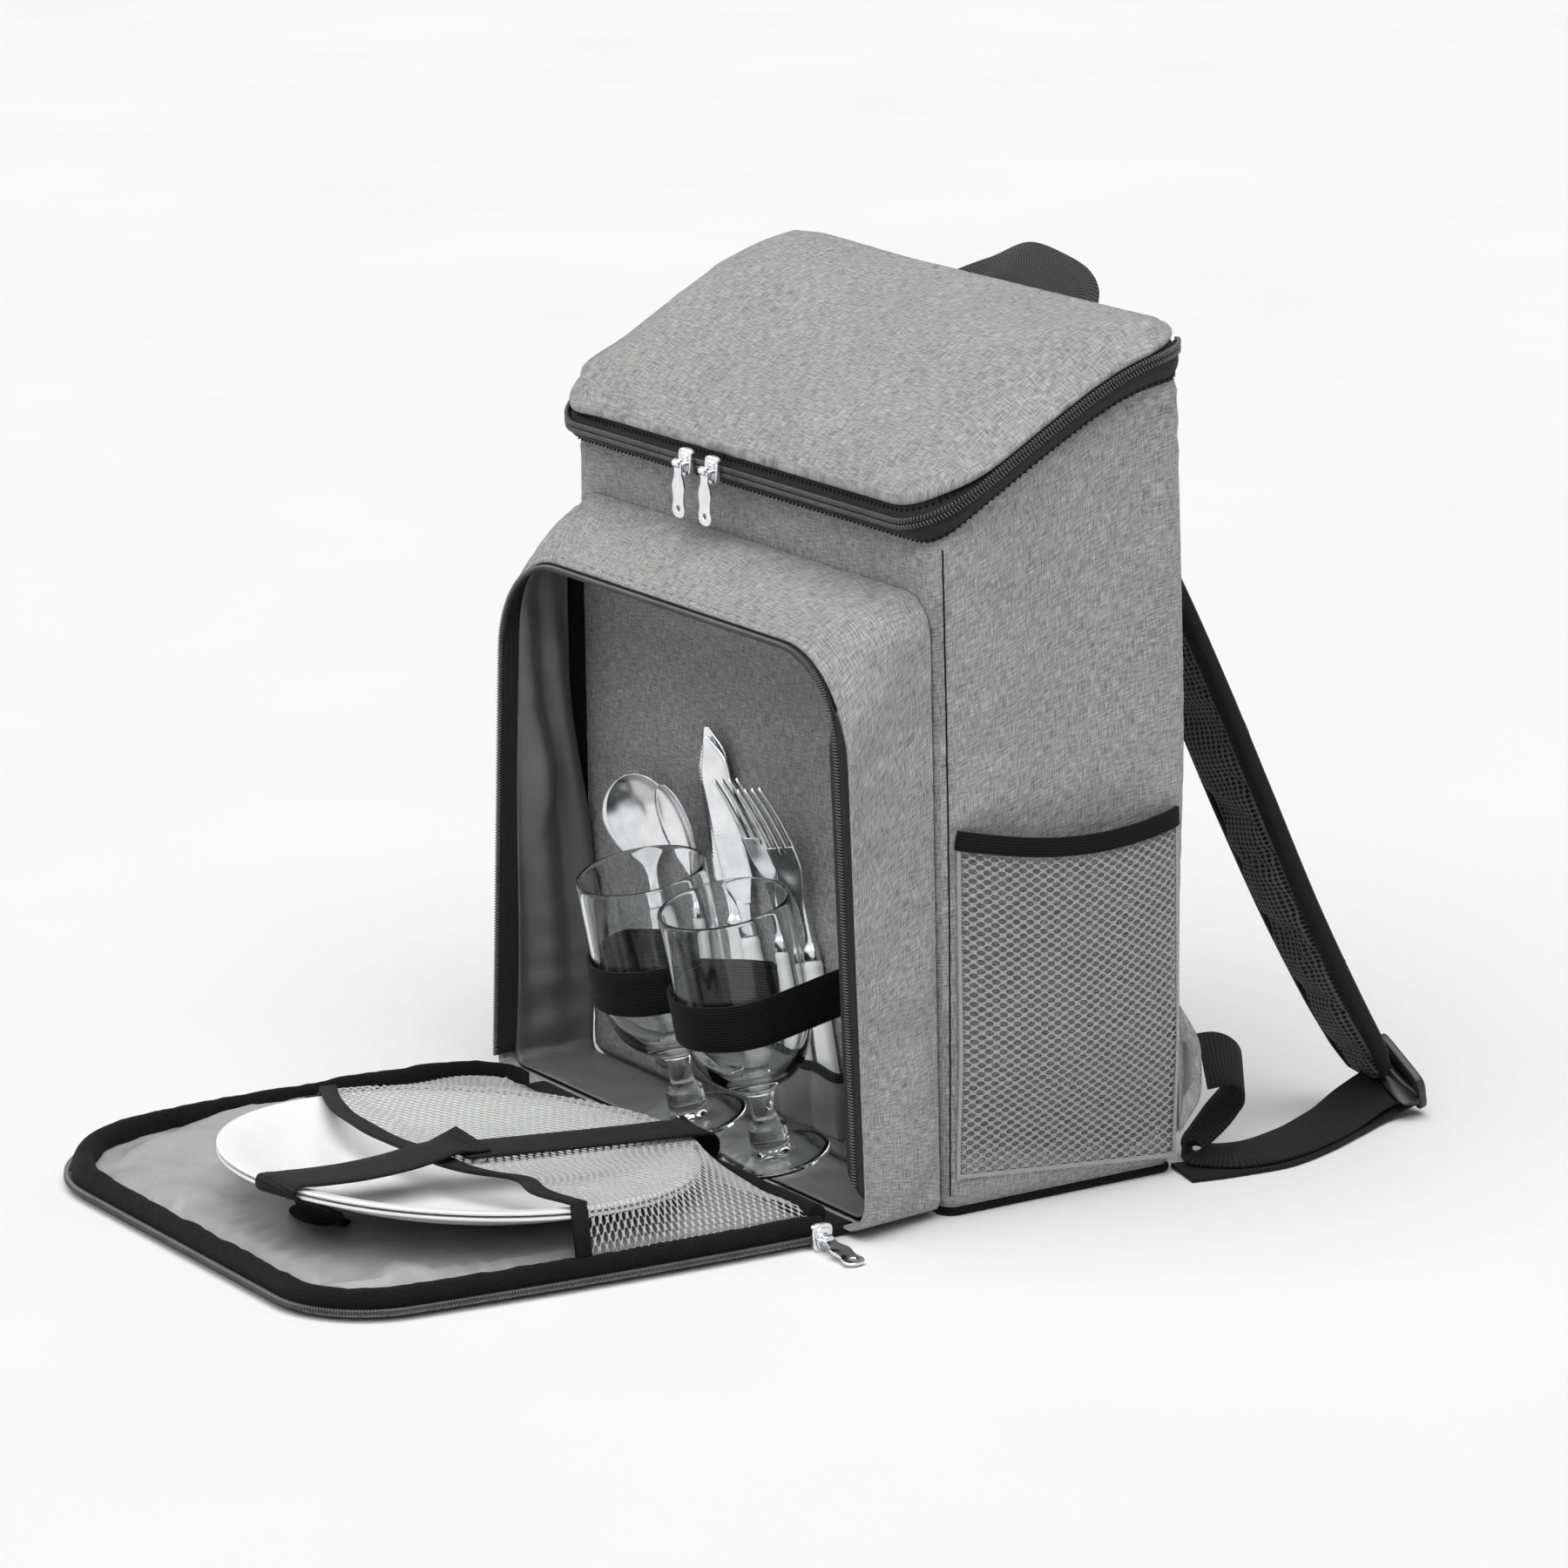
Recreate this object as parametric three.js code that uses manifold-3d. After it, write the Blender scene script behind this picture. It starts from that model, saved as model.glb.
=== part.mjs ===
// Picnic backpack with its front pocket unzipped and the flap lying open on the floor.
// Millimetres, +Z up, front towards -Y. The origin is the middle of the base, on the floor.
import * as THREE from 'three';
import { mergeVertices } from 'three/addons/utils/BufferGeometryUtils.js';
import Module from 'manifold-3d';

const wasm = await Module();
wasm.setup();

// Driving dimensions
const GAP = 0.4; // clearance between neighbouring pieces
const BODY = { half: 149.5, front: -62.5, back: 62.5, corner: 10, wall: 4, bottom: 3.4, bulge: 2 };
const BASE = { inset: 3, thick: 3 };
// The lid's zip line climbs from the front and levels off at the back
const RIM = { front: 303, start: -72, slope: 0.578, back: 366.5, ease: 8 };
// The lid's zip tape, measured from the zip line; its chain sits high on it
const TAPE = { below: 15, above: 4, thick: 1.6, bow: 4.5, seat: 0.72 };
const LID = { half: 153, front: -69, back: 64, corner: 26 };
const CHAIN = { width: 5, thick: 2.2 };
const POCKET = {
  joint: 271, top: 254, half: 155, corner: 45, mouth: -103, edge: -109.5, wall: 3, bottom: 3,
  rootDrop: 2, drop: 12.5, // how far the walls draw in towards the top, at the body and at the zip
  skew: 4, // how far the foot of the zip end stands to the right
  lean: 0.11, // share of its depth that the pocket loses towards the top
};
const LINING = { thick: 1.2, fold: 5, loose: 0.8 };
const FLAP = {
  hinge: -117, far: -351, half: 148, farLeft: 154, farRight: 127, swell: 0.026,
  roundLeft: 64, roundRight: 42, border: 13, ridge: 13,
};
const PLATE = { x: 29, y: -231, z: 31, radius: 103.5, tilt: 5, stack: 4 };
const GLASS = { y: -91.5, z: 11.4, lean: 11, xs: { left: -11, right: 58 } };
const BAND = { along: 73, height: 21, thick: 1.2, radius: 30.2, wall: -64.9 };
const CUTLERY = { y: -66, collar: 94, handle: 75 };
const SIDE_NET = { front: -57, back: 57, bulge: 9, thick: 0.8, hem: 8 };
const WEBBING = { width: 25, thick: 1.8 };
const HANDLE = { width: 26, thick: 2.4 };
const PULL = { length: 24, thick: 1.3, eye: 2.0, bore: 1.25, wire: 0.8, reach: 6 };

// Finishes
const finish = (color, roughness, metalness = 0) => ({ color, roughness, metalness });
const MELANGE = finish(0x8b8b8b, 0.9);
const SATIN = finish(0x6f6f70, 0.45);
const BLACK = finish(0x17171a, 0.8);
const PLASTIC = finish(0x131315, 0.45);
const NET = finish(0xb4b4b2, 0.7);
const CHROME = finish(0xd8d8da, 0.15, 1);
const STEEL = finish(0xc8c8ca, 0.2, 1);
const WHITE = finish(0xf2f2f0, 0.35);
const CLEAR = finish(0xe9eeee, 0.05);

const V = (x, y, z) => new THREE.Vector3(x, y, z);
const { lerp, clamp, degToRad, smoothstep } = THREE.MathUtils;

const bag = new THREE.Group();

// Names a piece, gives it its finish and adds it to the bag
function add(name, geometry, look) {
  const mesh = new THREE.Mesh(geometry, new THREE.MeshStandardMaterial(look));
  mesh.name = name;
  bag.add(mesh);
  return mesh;
}

// A closed solid from its corners and triangles, turned so that its faces point out
function solid(points, triangles) {
  let volume = 0;
  for (const [a, b, c] of triangles) {
    volume += points[a].dot(points[b].clone().cross(points[c]));
  }
  const index = triangles.flatMap(([a, b, c]) => (volume > 0 ? [a, b, c] : [a, c, b]));
  const geometry = new THREE.BufferGeometry();
  const flat = points.flatMap((p) => p.toArray());
  geometry.setAttribute('position', new THREE.Float32BufferAttribute(flat, 3));
  geometry.setIndex(index);
  geometry.computeVertexNormals();
  return geometry;
}

// Skins a row of rings with equal point counts; the ends are capped, or joined into a closed tube
function loft(rings, joined = false) {
  const count = rings[0].length;
  const points = rings.flat();
  const triangles = [];
  const rows = joined ? rings.length : rings.length - 1;
  for (let r = 0; r < rows; r++) {
    const here = r * count;
    const next = ((r + 1) % rings.length) * count;
    for (let i = 0; i < count; i++) {
      const j = (i + 1) % count;
      triangles.push([here + i, here + j, next + j], [here + i, next + j, next + i]);
    }
  }
  if (!joined) {
    for (const [ring, flip] of [[0, true], [rings.length - 1, false]]) {
      const middle = rings[ring].reduce((sum, p) => sum.add(p), V(0, 0, 0)).divideScalar(count);
      const hub = points.push(middle) - 1;
      for (let i = 0; i < count; i++) {
        const a = ring * count + i;
        const b = ring * count + ((i + 1) % count);
        triangles.push(flip ? [hub, b, a] : [hub, a, b]);
      }
    }
  }
  return solid(points, triangles);
}

// A thin open sheet: skin(u, v, side) gives its outer (side 0) and inner (side 1) face
function sheet(skin, columns, rows) {
  const points = [];
  for (const side of [0, 1]) {
    for (let j = 0; j <= rows; j++) {
      for (let i = 0; i <= columns; i++) points.push(skin(i / columns, j / rows, side));
    }
  }
  const at = (side, i, j) => side * (columns + 1) * (rows + 1) + j * (columns + 1) + i;
  const triangles = [];
  const quad = (a, b, c, d) => triangles.push([a, b, c], [a, c, d]);
  for (let j = 0; j < rows; j++) {
    for (let i = 0; i < columns; i++) {
      quad(at(0, i, j), at(0, i + 1, j), at(0, i + 1, j + 1), at(0, i, j + 1));
      quad(at(1, i, j), at(1, i, j + 1), at(1, i + 1, j + 1), at(1, i + 1, j));
    }
    quad(at(0, 0, j), at(0, 0, j + 1), at(1, 0, j + 1), at(1, 0, j));
    quad(at(0, columns, j + 1), at(0, columns, j), at(1, columns, j), at(1, columns, j + 1));
  }
  for (let i = 0; i < columns; i++) {
    quad(at(0, i + 1, 0), at(0, i, 0), at(1, i, 0), at(1, i + 1, 0));
    quad(at(0, i, rows), at(0, i + 1, rows), at(1, i + 1, rows), at(1, i, rows));
  }
  return solid(points, triangles);
}

// Cross sections of a strap and of a padded strap, as shares of its width and thickness
const FLAT = [[-0.5, -0.5], [0.5, -0.5], [0.5, 0.5], [-0.5, 0.5]];
const PADDED = [
  [-0.5, -0.2], [-0.4, -0.5], [0.4, -0.5], [0.5, -0.2],
  [0.5, 0.2], [0.4, 0.5], [-0.4, 0.5], [-0.5, 0.2],
];

// A strap along stations { at, across, width, thick }, its width lying along across
function strap(stations, section = FLAT) {
  const rings = stations.map(({ at, across, width, thick }, i) => {
    const before = stations[Math.max(0, i - 1)].at;
    const after = stations[Math.min(stations.length - 1, i + 1)].at;
    const along = after.clone().sub(before).normalize();
    const side = across.clone().addScaledVector(along, -across.dot(along)).normalize();
    const up = along.clone().cross(side);
    return section.map(([s, t]) =>
      at.clone().addScaledVector(side, s * width).addScaledVector(up, t * thick));
  });
  return loft(rings);
}

// Spreads few hand-placed stations along a smooth curve
function smoothStations(rows, count) {
  const curve = new THREE.CatmullRomCurve3(rows.map((row) => row.at), false, 'centripetal');
  const blend = (t, key) => {
    const place = clamp(t, 0, 1) * (rows.length - 1);
    const i = Math.min(Math.floor(place), rows.length - 2);
    const f = place - i;
    const a = rows[i][key];
    const b = rows[i + 1][key];
    return a.isVector3 ? a.clone().lerp(b, f) : lerp(a, b, f);
  };
  return Array.from({ length: count + 1 }, (_, k) => {
    const t = k / count;
    const [across, width, thick] = ['across', 'width', 'thick'].map((key) => blend(t, key));
    return { at: curve.getPoint(t), across, width, thick };
  });
}

// Joins the shared corners of a three.js geometry, so that it is one closed body with its faces out
function weld(geometry) {
  const bare = geometry.index ? geometry.toNonIndexed() : geometry.clone();
  bare.deleteAttribute('normal');
  bare.deleteAttribute('uv');
  const merged = mergeVertices(bare, 1e-4);
  const position = merged.attributes.position;
  const points = Array.from({ length: position.count }, (_, i) => V().fromBufferAttribute(position, i));
  const index = Array.from(merged.index.array);
  const triangles = [];
  for (let i = 0; i < index.length; i += 3) {
    const [a, b, c] = index.slice(i, i + 3);
    if (a !== b && b !== c && c !== a) triangles.push([a, b, c]);
  }
  return solid(points, triangles);
}

// A body turned about the Z axis from a profile of [radius, height] rows
function turned(profile, segments) {
  const lathe = new THREE.LatheGeometry(profile.map(([r, z]) => new THREE.Vector2(r, z)), segments);
  return weld(lathe.rotateX(Math.PI / 2));
}

// One solid from several overlapping ones
function joined(...geometries) {
  const bodies = geometries.map((geometry) => {
    const clean = weld(geometry);
    return new wasm.Manifold(new wasm.Mesh({
      numProp: 3,
      vertProperties: new Float32Array(clean.attributes.position.array),
      triVerts: new Uint32Array(clean.index.array),
    }));
  });
  const { vertProperties, triVerts } = bodies.reduce((a, b) => a.add(b)).getMesh();
  const geometry = new THREE.BufferGeometry();
  geometry.setAttribute('position', new THREE.Float32BufferAttribute(vertProperties, 3));
  geometry.setIndex(Array.from(triVerts));
  geometry.computeVertexNormals();
  return geometry;
}

// A flat outline given thickness: the outline lies in the XZ plane, the thickness is centred on Y
function plateOf(shape, thick, curveSegments = 5) {
  const geometry = new THREE.ExtrudeGeometry(shape, { depth: thick, bevelEnabled: false, curveSegments });
  return weld(geometry.translate(0, 0, -thick / 2).rotateX(Math.PI / 2));
}

// A closed outline through four corners [u, v, radius]; lofted outlines share these point counts
const ARC_STEPS = 4;
const SIDE_STEPS = [4, 6, 4, 6];
const STRAIGHT = [1, 1, 1, 1];
function roundedLoop(corners, sideSteps = SIDE_STEPS, arcSteps = ARC_STEPS) {
  const arcs = corners.map(([u, v, radius], i) => {
    const here = new THREE.Vector2(u, v);
    const toward = (k) => new THREE.Vector2(corners[k][0], corners[k][1]).sub(here).normalize();
    const before = toward((i + 3) % 4);
    const after = toward((i + 1) % 4);
    const half = Math.acos(before.dot(after)) / 2;
    const centre = before.clone().add(after).normalize().multiplyScalar(radius / Math.sin(half)).add(here);
    const start = here.clone().addScaledVector(before, radius / Math.tan(half)).sub(centre);
    const turn = Math.sign(before.cross(after)) * -(Math.PI - 2 * half);
    return Array.from({ length: arcSteps + 1 }, (_, k) =>
      start.clone().rotateAround(new THREE.Vector2(), turn * k / arcSteps).add(centre));
  });
  return arcs.flatMap((arc, i) => {
    const from = arc[arcSteps];
    const to = arcs[(i + 1) % 4][0];
    const steps = sideSteps[i];
    const side = Array.from({ length: steps - 1 }, (_, k) => from.clone().lerp(to, (k + 1) / steps));
    return [...arc, ...side];
  });
}

// The stretch of an outline over its first three sides, which is where a zip runs
const zipStart = ARC_STEPS;
const zipEnd = 3 * (ARC_STEPS + 1) + SIDE_STEPS[0] + SIDE_STEPS[1] + SIDE_STEPS[2] - 3;
const zipRun = (loop) => loop.slice(zipStart, zipEnd + 1);

// Height of the lid's zip chain over the plan
function rimHeight(y) {
  const climb = RIM.front + RIM.slope * Math.max(y - RIM.start, 0);
  const short = (RIM.back - climb) / RIM.ease;
  return RIM.back - RIM.ease * Math.log(1 + Math.exp(short));
}

const plan = ({ half, front, back, corner }, inset = 0) => {
  const radius = Math.max(corner - inset, 4);
  const [x, f, b] = [half - inset, front + inset, back - inset];
  return roundedLoop([[-x, b, radius], [-x, f, radius], [x, f, radius], [x, b, radius]]);
};

function makeBody() {
  const base = new THREE.Shape(plan(BODY, BASE.inset));
  add('base', weld(new THREE.ExtrudeGeometry(base, { depth: BASE.thick, bevelEnabled: false })), BLACK);

  // levels: share of the wall's height, inset and sideways bulge as a share of BODY.bulge
  const levels = [[0, 4, 0], [0.02, 0, 0], [0.5, 0, 1], [1, 0, 0]];
  const ring = ([share, inset, bulge], wall, floor) => {
    const swell = bulge * BODY.bulge;
    const outline = { ...BODY, half: BODY.half + swell, back: BODY.back + swell };
    const low = BODY.bottom + floor;
    return plan(outline, inset + wall).map(({ x, y }) =>
      V(x, y, lerp(low, rimHeight(y) - TAPE.below, share)));
  };
  const outer = levels.map((level) => ring(level, 0, 0));
  const inner = levels.map((level) => ring(level, BODY.wall, BODY.wall));
  add('main_shell', loft([...outer, ...inner.reverse()]), MELANGE);
}

function makeLid() {
  // profile: inset from the lid's edge and rise above it, inner face first
  const profile = [
    [52, 6], [8, 2.5], [5, 0], [0, 0], [-0.5, 2.6], [2.5, 5.2], [10, 7.6], [52, 10],
  ];
  const edge = TAPE.above + GAP;
  const rings = profile.map(([inset, rise]) =>
    plan(LID, inset).map(({ x, y }) => V(x, y, rimHeight(y) + edge + rise)));
  add('lid', loft(rings), MELANGE);

  // The tape bows out from the body's edge to the chain and back in to the lid's edge
  const body = plan(BODY);
  const lid = plan(LID);
  const total = body.length;
  const band = (i, v, side) => {
    const along = lid[(i + 1) % total].clone().sub(lid[(i + total - 1) % total]).normalize();
    const out = new THREE.Vector2(along.y, -along.x);
    const bow = TAPE.bow * Math.sin(Math.PI * v) - side * TAPE.thick;
    const spot = body[i].clone().lerp(lid[i], v).addScaledVector(out, bow);
    return V(spot.x, spot.y, rimHeight(spot.y) + lerp(GAP - TAPE.below, TAPE.above, v));
  };
  const run = zipEnd - zipStart;
  const along = (u) => zipStart + Math.round(u * run);
  const rows = [0, TAPE.seat, 1];
  const level = (v) => rows[Math.round(v * 2)];
  add('lid_zip_tape', sheet((u, v, side) => band(along(u), level(v), side), run, 2), BLACK);

  // The strip along the back, from one end of the zip round to the other, is plain cloth
  const backRun = total - run - 2;
  const behind = (u) => (zipEnd + 1 + Math.round(u * backRun)) % total;
  add('lid_hinge', sheet((u, v, side) => band(behind(u), level(v), side), backRun, 2), MELANGE);

  const stations = Array.from({ length: run + 1 }, (_, k) => {
    const outside = band(zipStart + k, TAPE.seat, 0);
    const inside = band(zipStart + k, TAPE.seat, 1);
    const out = outside.clone().sub(inside).normalize();
    return { at: outside.addScaledVector(out, GAP + CHAIN.thick / 2), across: V(0, 0, 1), ...CHAIN };
  });
  add('lid_zip_chain', strap(stations), BLACK);
}

// A slider whose chain runs along X and whose face points to -Y, with a wire bail for the pull's eye
function sliderGeometry() {
  const half = { x: 4.2, z: 5.5 };
  const outline = new THREE.Shape(roundedLoop([
    [-half.x, -half.z, 2], [-half.x, half.z, 1.5], [half.x, half.z, 1.5], [half.x, -half.z, 2],
  ], STRAIGHT, 2));
  const thick = 3;
  const face = plateOf(outline, thick).translate(0, -thick / 2, 0);
  const post = (x) => new THREE.BoxGeometry(1.2, PULL.reach - thick + 1.8, 1.9)
    .translate(x, -(PULL.reach + thick - 0.4) / 2, 0);
  const wire = new THREE.CylinderGeometry(PULL.wire, PULL.wire, 7, 8)
    .rotateZ(Math.PI / 2)
    .translate(0, -PULL.reach, 0);
  return joined(face, post(-3.5), post(3.5), wire);
}

// A wavy pull that hangs down -Z from its eye; the eye's axis is X
function pullGeometry() {
  const ring = new THREE.Shape().absarc(0, 0, PULL.eye, 0, 2 * Math.PI);
  ring.holes.push(new THREE.Path().absarc(0, 0, PULL.bore, 0, 2 * Math.PI, true));
  const eye = plateOf(ring, 4.8).rotateZ(Math.PI / 2);
  // rows: share of the pull's length and half width of the blade there
  const waist = [[0.07, 2.2], [0.24, 2.3], [0.45, 4.1], [0.68, 3.2], [0.88, 4.2], [0.97, 3.2], [1, 1.2]];
  const right = waist.map(([t, w]) => new THREE.Vector2(w, -t * PULL.length));
  const left = [...waist].reverse().map(([t, w]) => new THREE.Vector2(-w, -t * PULL.length));
  const blade = new THREE.Shape([...right, ...left]);
  const low = -0.86 * PULL.length;
  blade.holes.push(new THREE.Path([[-1.6, -1.4], [1.6, -1.4], [1.6, 1.4], [-1.6, 1.4]]
    .map(([x, z]) => new THREE.Vector2(x, low + z))));
  return joined(eye, plateOf(blade, PULL.thick));
}

function makeLidSliders() {
  const place = { left: -29, right: -7 };
  const tapeFace = lerp(BODY.front, LID.front, TAPE.seat) - TAPE.bow * Math.sin(Math.PI * TAPE.seat);
  const chainZ = rimHeight(tapeFace) + lerp(GAP - TAPE.below, TAPE.above, TAPE.seat);
  const face = tapeFace - GAP - CHAIN.thick - GAP;
  for (const [side, x] of Object.entries(place)) {
    add(`lid_slider_${side}`, sliderGeometry(), CHROME).position.set(x, face, chainZ);
    add(`lid_pull_${side}`, pullGeometry(), CHROME).position.set(x, face - PULL.reach, chainZ);
  }
}

// The pocket's wall outline at depth y: square at the body, an arch with round shoulders at the zip
function pocketLoop(y, inset) {
  const share = clamp((y - BODY.front) / (POCKET.mouth - BODY.front), 0, 1.2);
  const half = lerp(BODY.half - 3, POCKET.half, share) - inset;
  const crown = lerp(POCKET.joint, POCKET.top, share ** 1.5) - inset;
  const round = lerp(18, POCKET.corner, share) - inset;
  const low = POCKET.bottom + inset;
  const foot = 6;
  const shoulder = half - lerp(POCKET.rootDrop, POCKET.drop, share);
  const feet = [-half, half].map((x) => [x, low, foot]);
  const shoulders = [-shoulder, shoulder].map((x) => [x, crown, round]);
  return roundedLoop([feet[0], ...shoulders, feet[1]]).map(({ x, y: z }) => {
    const depth = (y - BODY.front) * (1 - POCKET.lean * z / POCKET.top);
    return V(x + POCKET.skew * share * (1 - z / POCKET.top), BODY.front + depth, z);
  });
}

function makePocket() {
  const deep = BODY.front - GAP;
  const depths = [deep, lerp(deep, POCKET.mouth, 0.33), lerp(deep, POCKET.mouth, 0.67), POCKET.mouth];
  const outer = depths.map((y) => pocketLoop(y, 0));
  const inner = depths.map((y) => pocketLoop(y, POCKET.wall));
  add('pocket_gusset', loft([...outer, ...inner.reverse()], true), MELANGE);

  // The lining hangs loose inside the wall, with soft upright folds on its sides
  const lining = (y, depth) => pocketLoop(y, POCKET.wall + LINING.loose + depth).map((p) => {
    const up = clamp((p.z - 12) / 200, 0, 1);
    const side = smoothstep(Math.abs(p.x), 110, 140) * Math.sin(Math.PI * up) ** 2;
    const wave = 0.5 + 0.5 * Math.sin((y - deep) * 0.22 + p.z * 0.02);
    return V(p.x - Math.sign(p.x) * LINING.fold * side * wave, p.y, p.z);
  });
  const rows = [-64, -83, -102.5];
  const outside = rows.map((y) => lining(y, 0));
  const inside = rows.map((y) => lining(y, LINING.thick));
  add('pocket_lining', loft([...outside, ...inside.reverse()], true), SATIN);

  const tapeFrom = POCKET.mouth - GAP;
  const run = zipEnd - zipStart;
  const tape = (u, v, side) => {
    const loop = pocketLoop(lerp(tapeFrom, POCKET.edge, v), side * TAPE.thick);
    return loop[zipStart + Math.round(u * run)];
  };
  add('pocket_zip_tape', sheet(tape, run, 1), BLACK);

  const chainY = POCKET.edge - GAP - 1.6;
  const stations = zipRun(pocketLoop(chainY, 0.8))
    .map((at) => ({ at, across: V(0, 1, 0), width: 3.2, thick: 2.4 }));
  add('pocket_zip_chain', strap(stations), BLACK);
}

// The flap's tombstone outline, drawn in by inset, and by hingeInset on the hinge side
function flapLoop(inset, hingeInset = 0) {
  const h = FLAP.half - inset;
  const near = FLAP.hinge - hingeInset;
  const far = FLAP.far + inset;
  const [left, right] = [FLAP.roundLeft, FLAP.roundRight].map((round) => Math.max(round - inset, 8));
  const farEnds = [[inset - FLAP.farLeft, far, left], [FLAP.farRight - inset, far, right]];
  return roundedLoop([[-h, near, 4], ...farEnds, [h, near, 4]]).map((spot) => {
    const swell = 1 + FLAP.swell * Math.sin(Math.PI * clamp((near - spot.y) / (near - far), 0, 1));
    return spot.setX(spot.x * swell);
  });
}

// Height of the flap's lining, pressed down where the plates stand
function liningHeight(x, y) {
  const reach = Math.hypot(x - PLATE.x, y - PLATE.y);
  const under = 1 - smoothstep(reach, 78, 112);
  const pressed = PLATE.z - PLATE.stack - 14.8 + (PLATE.y - y) * Math.tan(degToRad(PLATE.tilt));
  const puffed = 12 + 0.8 * Math.sin(x * 0.05) * Math.sin(y * 0.06);
  return lerp(puffed, Math.min(pressed, 11), under);
}

function makeFlap() {
  const level = (inset, z) => flapLoop(inset).map(({ x, y }) => V(x, y, z));
  add('flap_panel', loft([level(3, 0), level(0, 1.4), level(0, 3.2), level(2, 4)]), MELANGE);

  const inside = FLAP.border + GAP;
  const soft = (inset, share) => flapLoop(inside + inset, 0.9 * inset).map(({ x, y }) => {
    const hingeSide = smoothstep(FLAP.hinge - y, 0, 24);
    return V(x, y, lerp(4 + GAP + 2, liningHeight(x, y), share * hingeSide));
  });
  const under = flapLoop(inside).map(({ x, y }) => V(x, y, 4 + GAP));
  // steps: how far in from the lining's edge, and its share of the full height there
  const steps = [[0, 0.2], [6, 0.85], [20, 1], [46, 1], [96, 1]];
  const puffs = steps.map(([inset, share]) => soft(inset, share));
  add('flap_lining', loft([under, ...puffs]), SATIN);

  // rows: inset from the flap's edge and height of the padded binding's section
  const section = [[0.4, 4.4], [0.4, 7], [4, 11.5], [8, FLAP.ridge], [12, 11.5], [FLAP.border, 4.4]];
  const rails = section.map(([inset, z]) => zipRun(flapLoop(inset)).map(({ x, y }) => V(x, y, z)));
  add('flap_binding', loft(rails[0].map((_, i) => rails.map((rail) => rail[i]))), BLACK);

  const chain = [[-GAP, 2.4], [-3.2, 2.4], [-3.2, 5.4], [-GAP, 5.4]];
  const runs = chain.map(([inset, z]) => zipRun(flapLoop(inset)).map(({ x, y }) => V(x, y, z)));
  add('flap_zip_chain', loft(runs[0].map((_, i) => runs.map((rail) => rail[i]))), BLACK);

  // A bound strip covers the fold between the flap and the pocket's floor
  const [low, outerY, innerY] = [1.2, FLAP.hinge + GAP, POCKET.mouth - GAP];
  const strip = [[outerY, low], [outerY, 4.8], [FLAP.hinge + 4, 5.8], [innerY, 5.4], [innerY, low]];
  const hingeEnds = [-142, -71, 0, 71, 142];
  add('flap_hinge', loft(hingeEnds.map((x) => strip.map(([y, z]) => V(x, y, z)))), BLACK);
}

function makeFlapPull() {
  const at = V(FLAP.half + 3.6, FLAP.hinge - 10, 5.6);
  const slider = new THREE.Group();
  slider.position.copy(at);
  slider.rotation.z = Math.PI / 2;
  bag.add(slider);
  const body = add('flap_slider', sliderGeometry(), CHROME);
  slider.add(body);
  // The pull lies out over the floor, its tip a little lower than its eye
  const rest = new THREE.Group();
  rest.position.set(0, -PULL.reach, 0);
  rest.rotation.x = degToRad(-79);
  slider.add(rest);
  rest.add(add('flap_pull', pullGeometry(), CHROME));
}

// Height of the upper plate's rim plane
const rimPlane = (y) => PLATE.z + (PLATE.y - y) * Math.tan(degToRad(PLATE.tilt));

function makePlates() {
  // rows: radius and height below the rim plane, underside first
  const profile = [
    [0, -13], [62, -12.8], [80, -9.6], [94, -2.4], [PLATE.radius, -0.8], [PLATE.radius, 0.4],
    [93.5, 0], [78, -7], [62, -10.4], [0, -10.6],
  ];
  for (const [name, drop] of [['plate_lower', PLATE.stack], ['plate_upper', 0]]) {
    const plate = add(name, turned(profile, 24), WHITE);
    plate.position.set(PLATE.x, PLATE.y, PLATE.z - drop);
    plate.rotation.x = degToRad(-PLATE.tilt);
  }
}

// The net is drawn over the plates and runs down to the flap's border and to the hinge
const NET_OVER = 3.4;
const NET_HALF = FLAP.half - 5;
const NET_SHOULDER = PLATE.radius + 3.2;
function netHeight(x, y) {
  const dx = x - PLATE.x;
  const dy = y - PLATE.y;
  const reach = Math.hypot(dx, dy);
  const half = (dx > 0 ? NET_HALF - PLATE.x : NET_HALF + PLATE.x) + 0.01;
  const toSide = half * reach / Math.max(Math.abs(dx), 1e-3);
  const toHinge = dy > 0 ? (FLAP.hinge - PLATE.y) * reach / dy : Infinity;
  const border = Math.min(toSide, toHinge);
  const out = clamp((reach - NET_SHOULDER) / Math.max(border - NET_SHOULDER, 1), 0, 1);
  const edge = toHinge < toSide ? lerp(8, 14.4, smoothstep(Math.abs(x), 112, 138)) : 14.4;
  return lerp(rimPlane(y) + NET_OVER, edge, out);
}
function netFree(x) {
  const [border, run] = x < PLATE.x ? [-210, 172] : [-224, 130];
  return lerp(-246, border, smoothstep(Math.abs(x - PLATE.x), 40, run));
}

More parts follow.
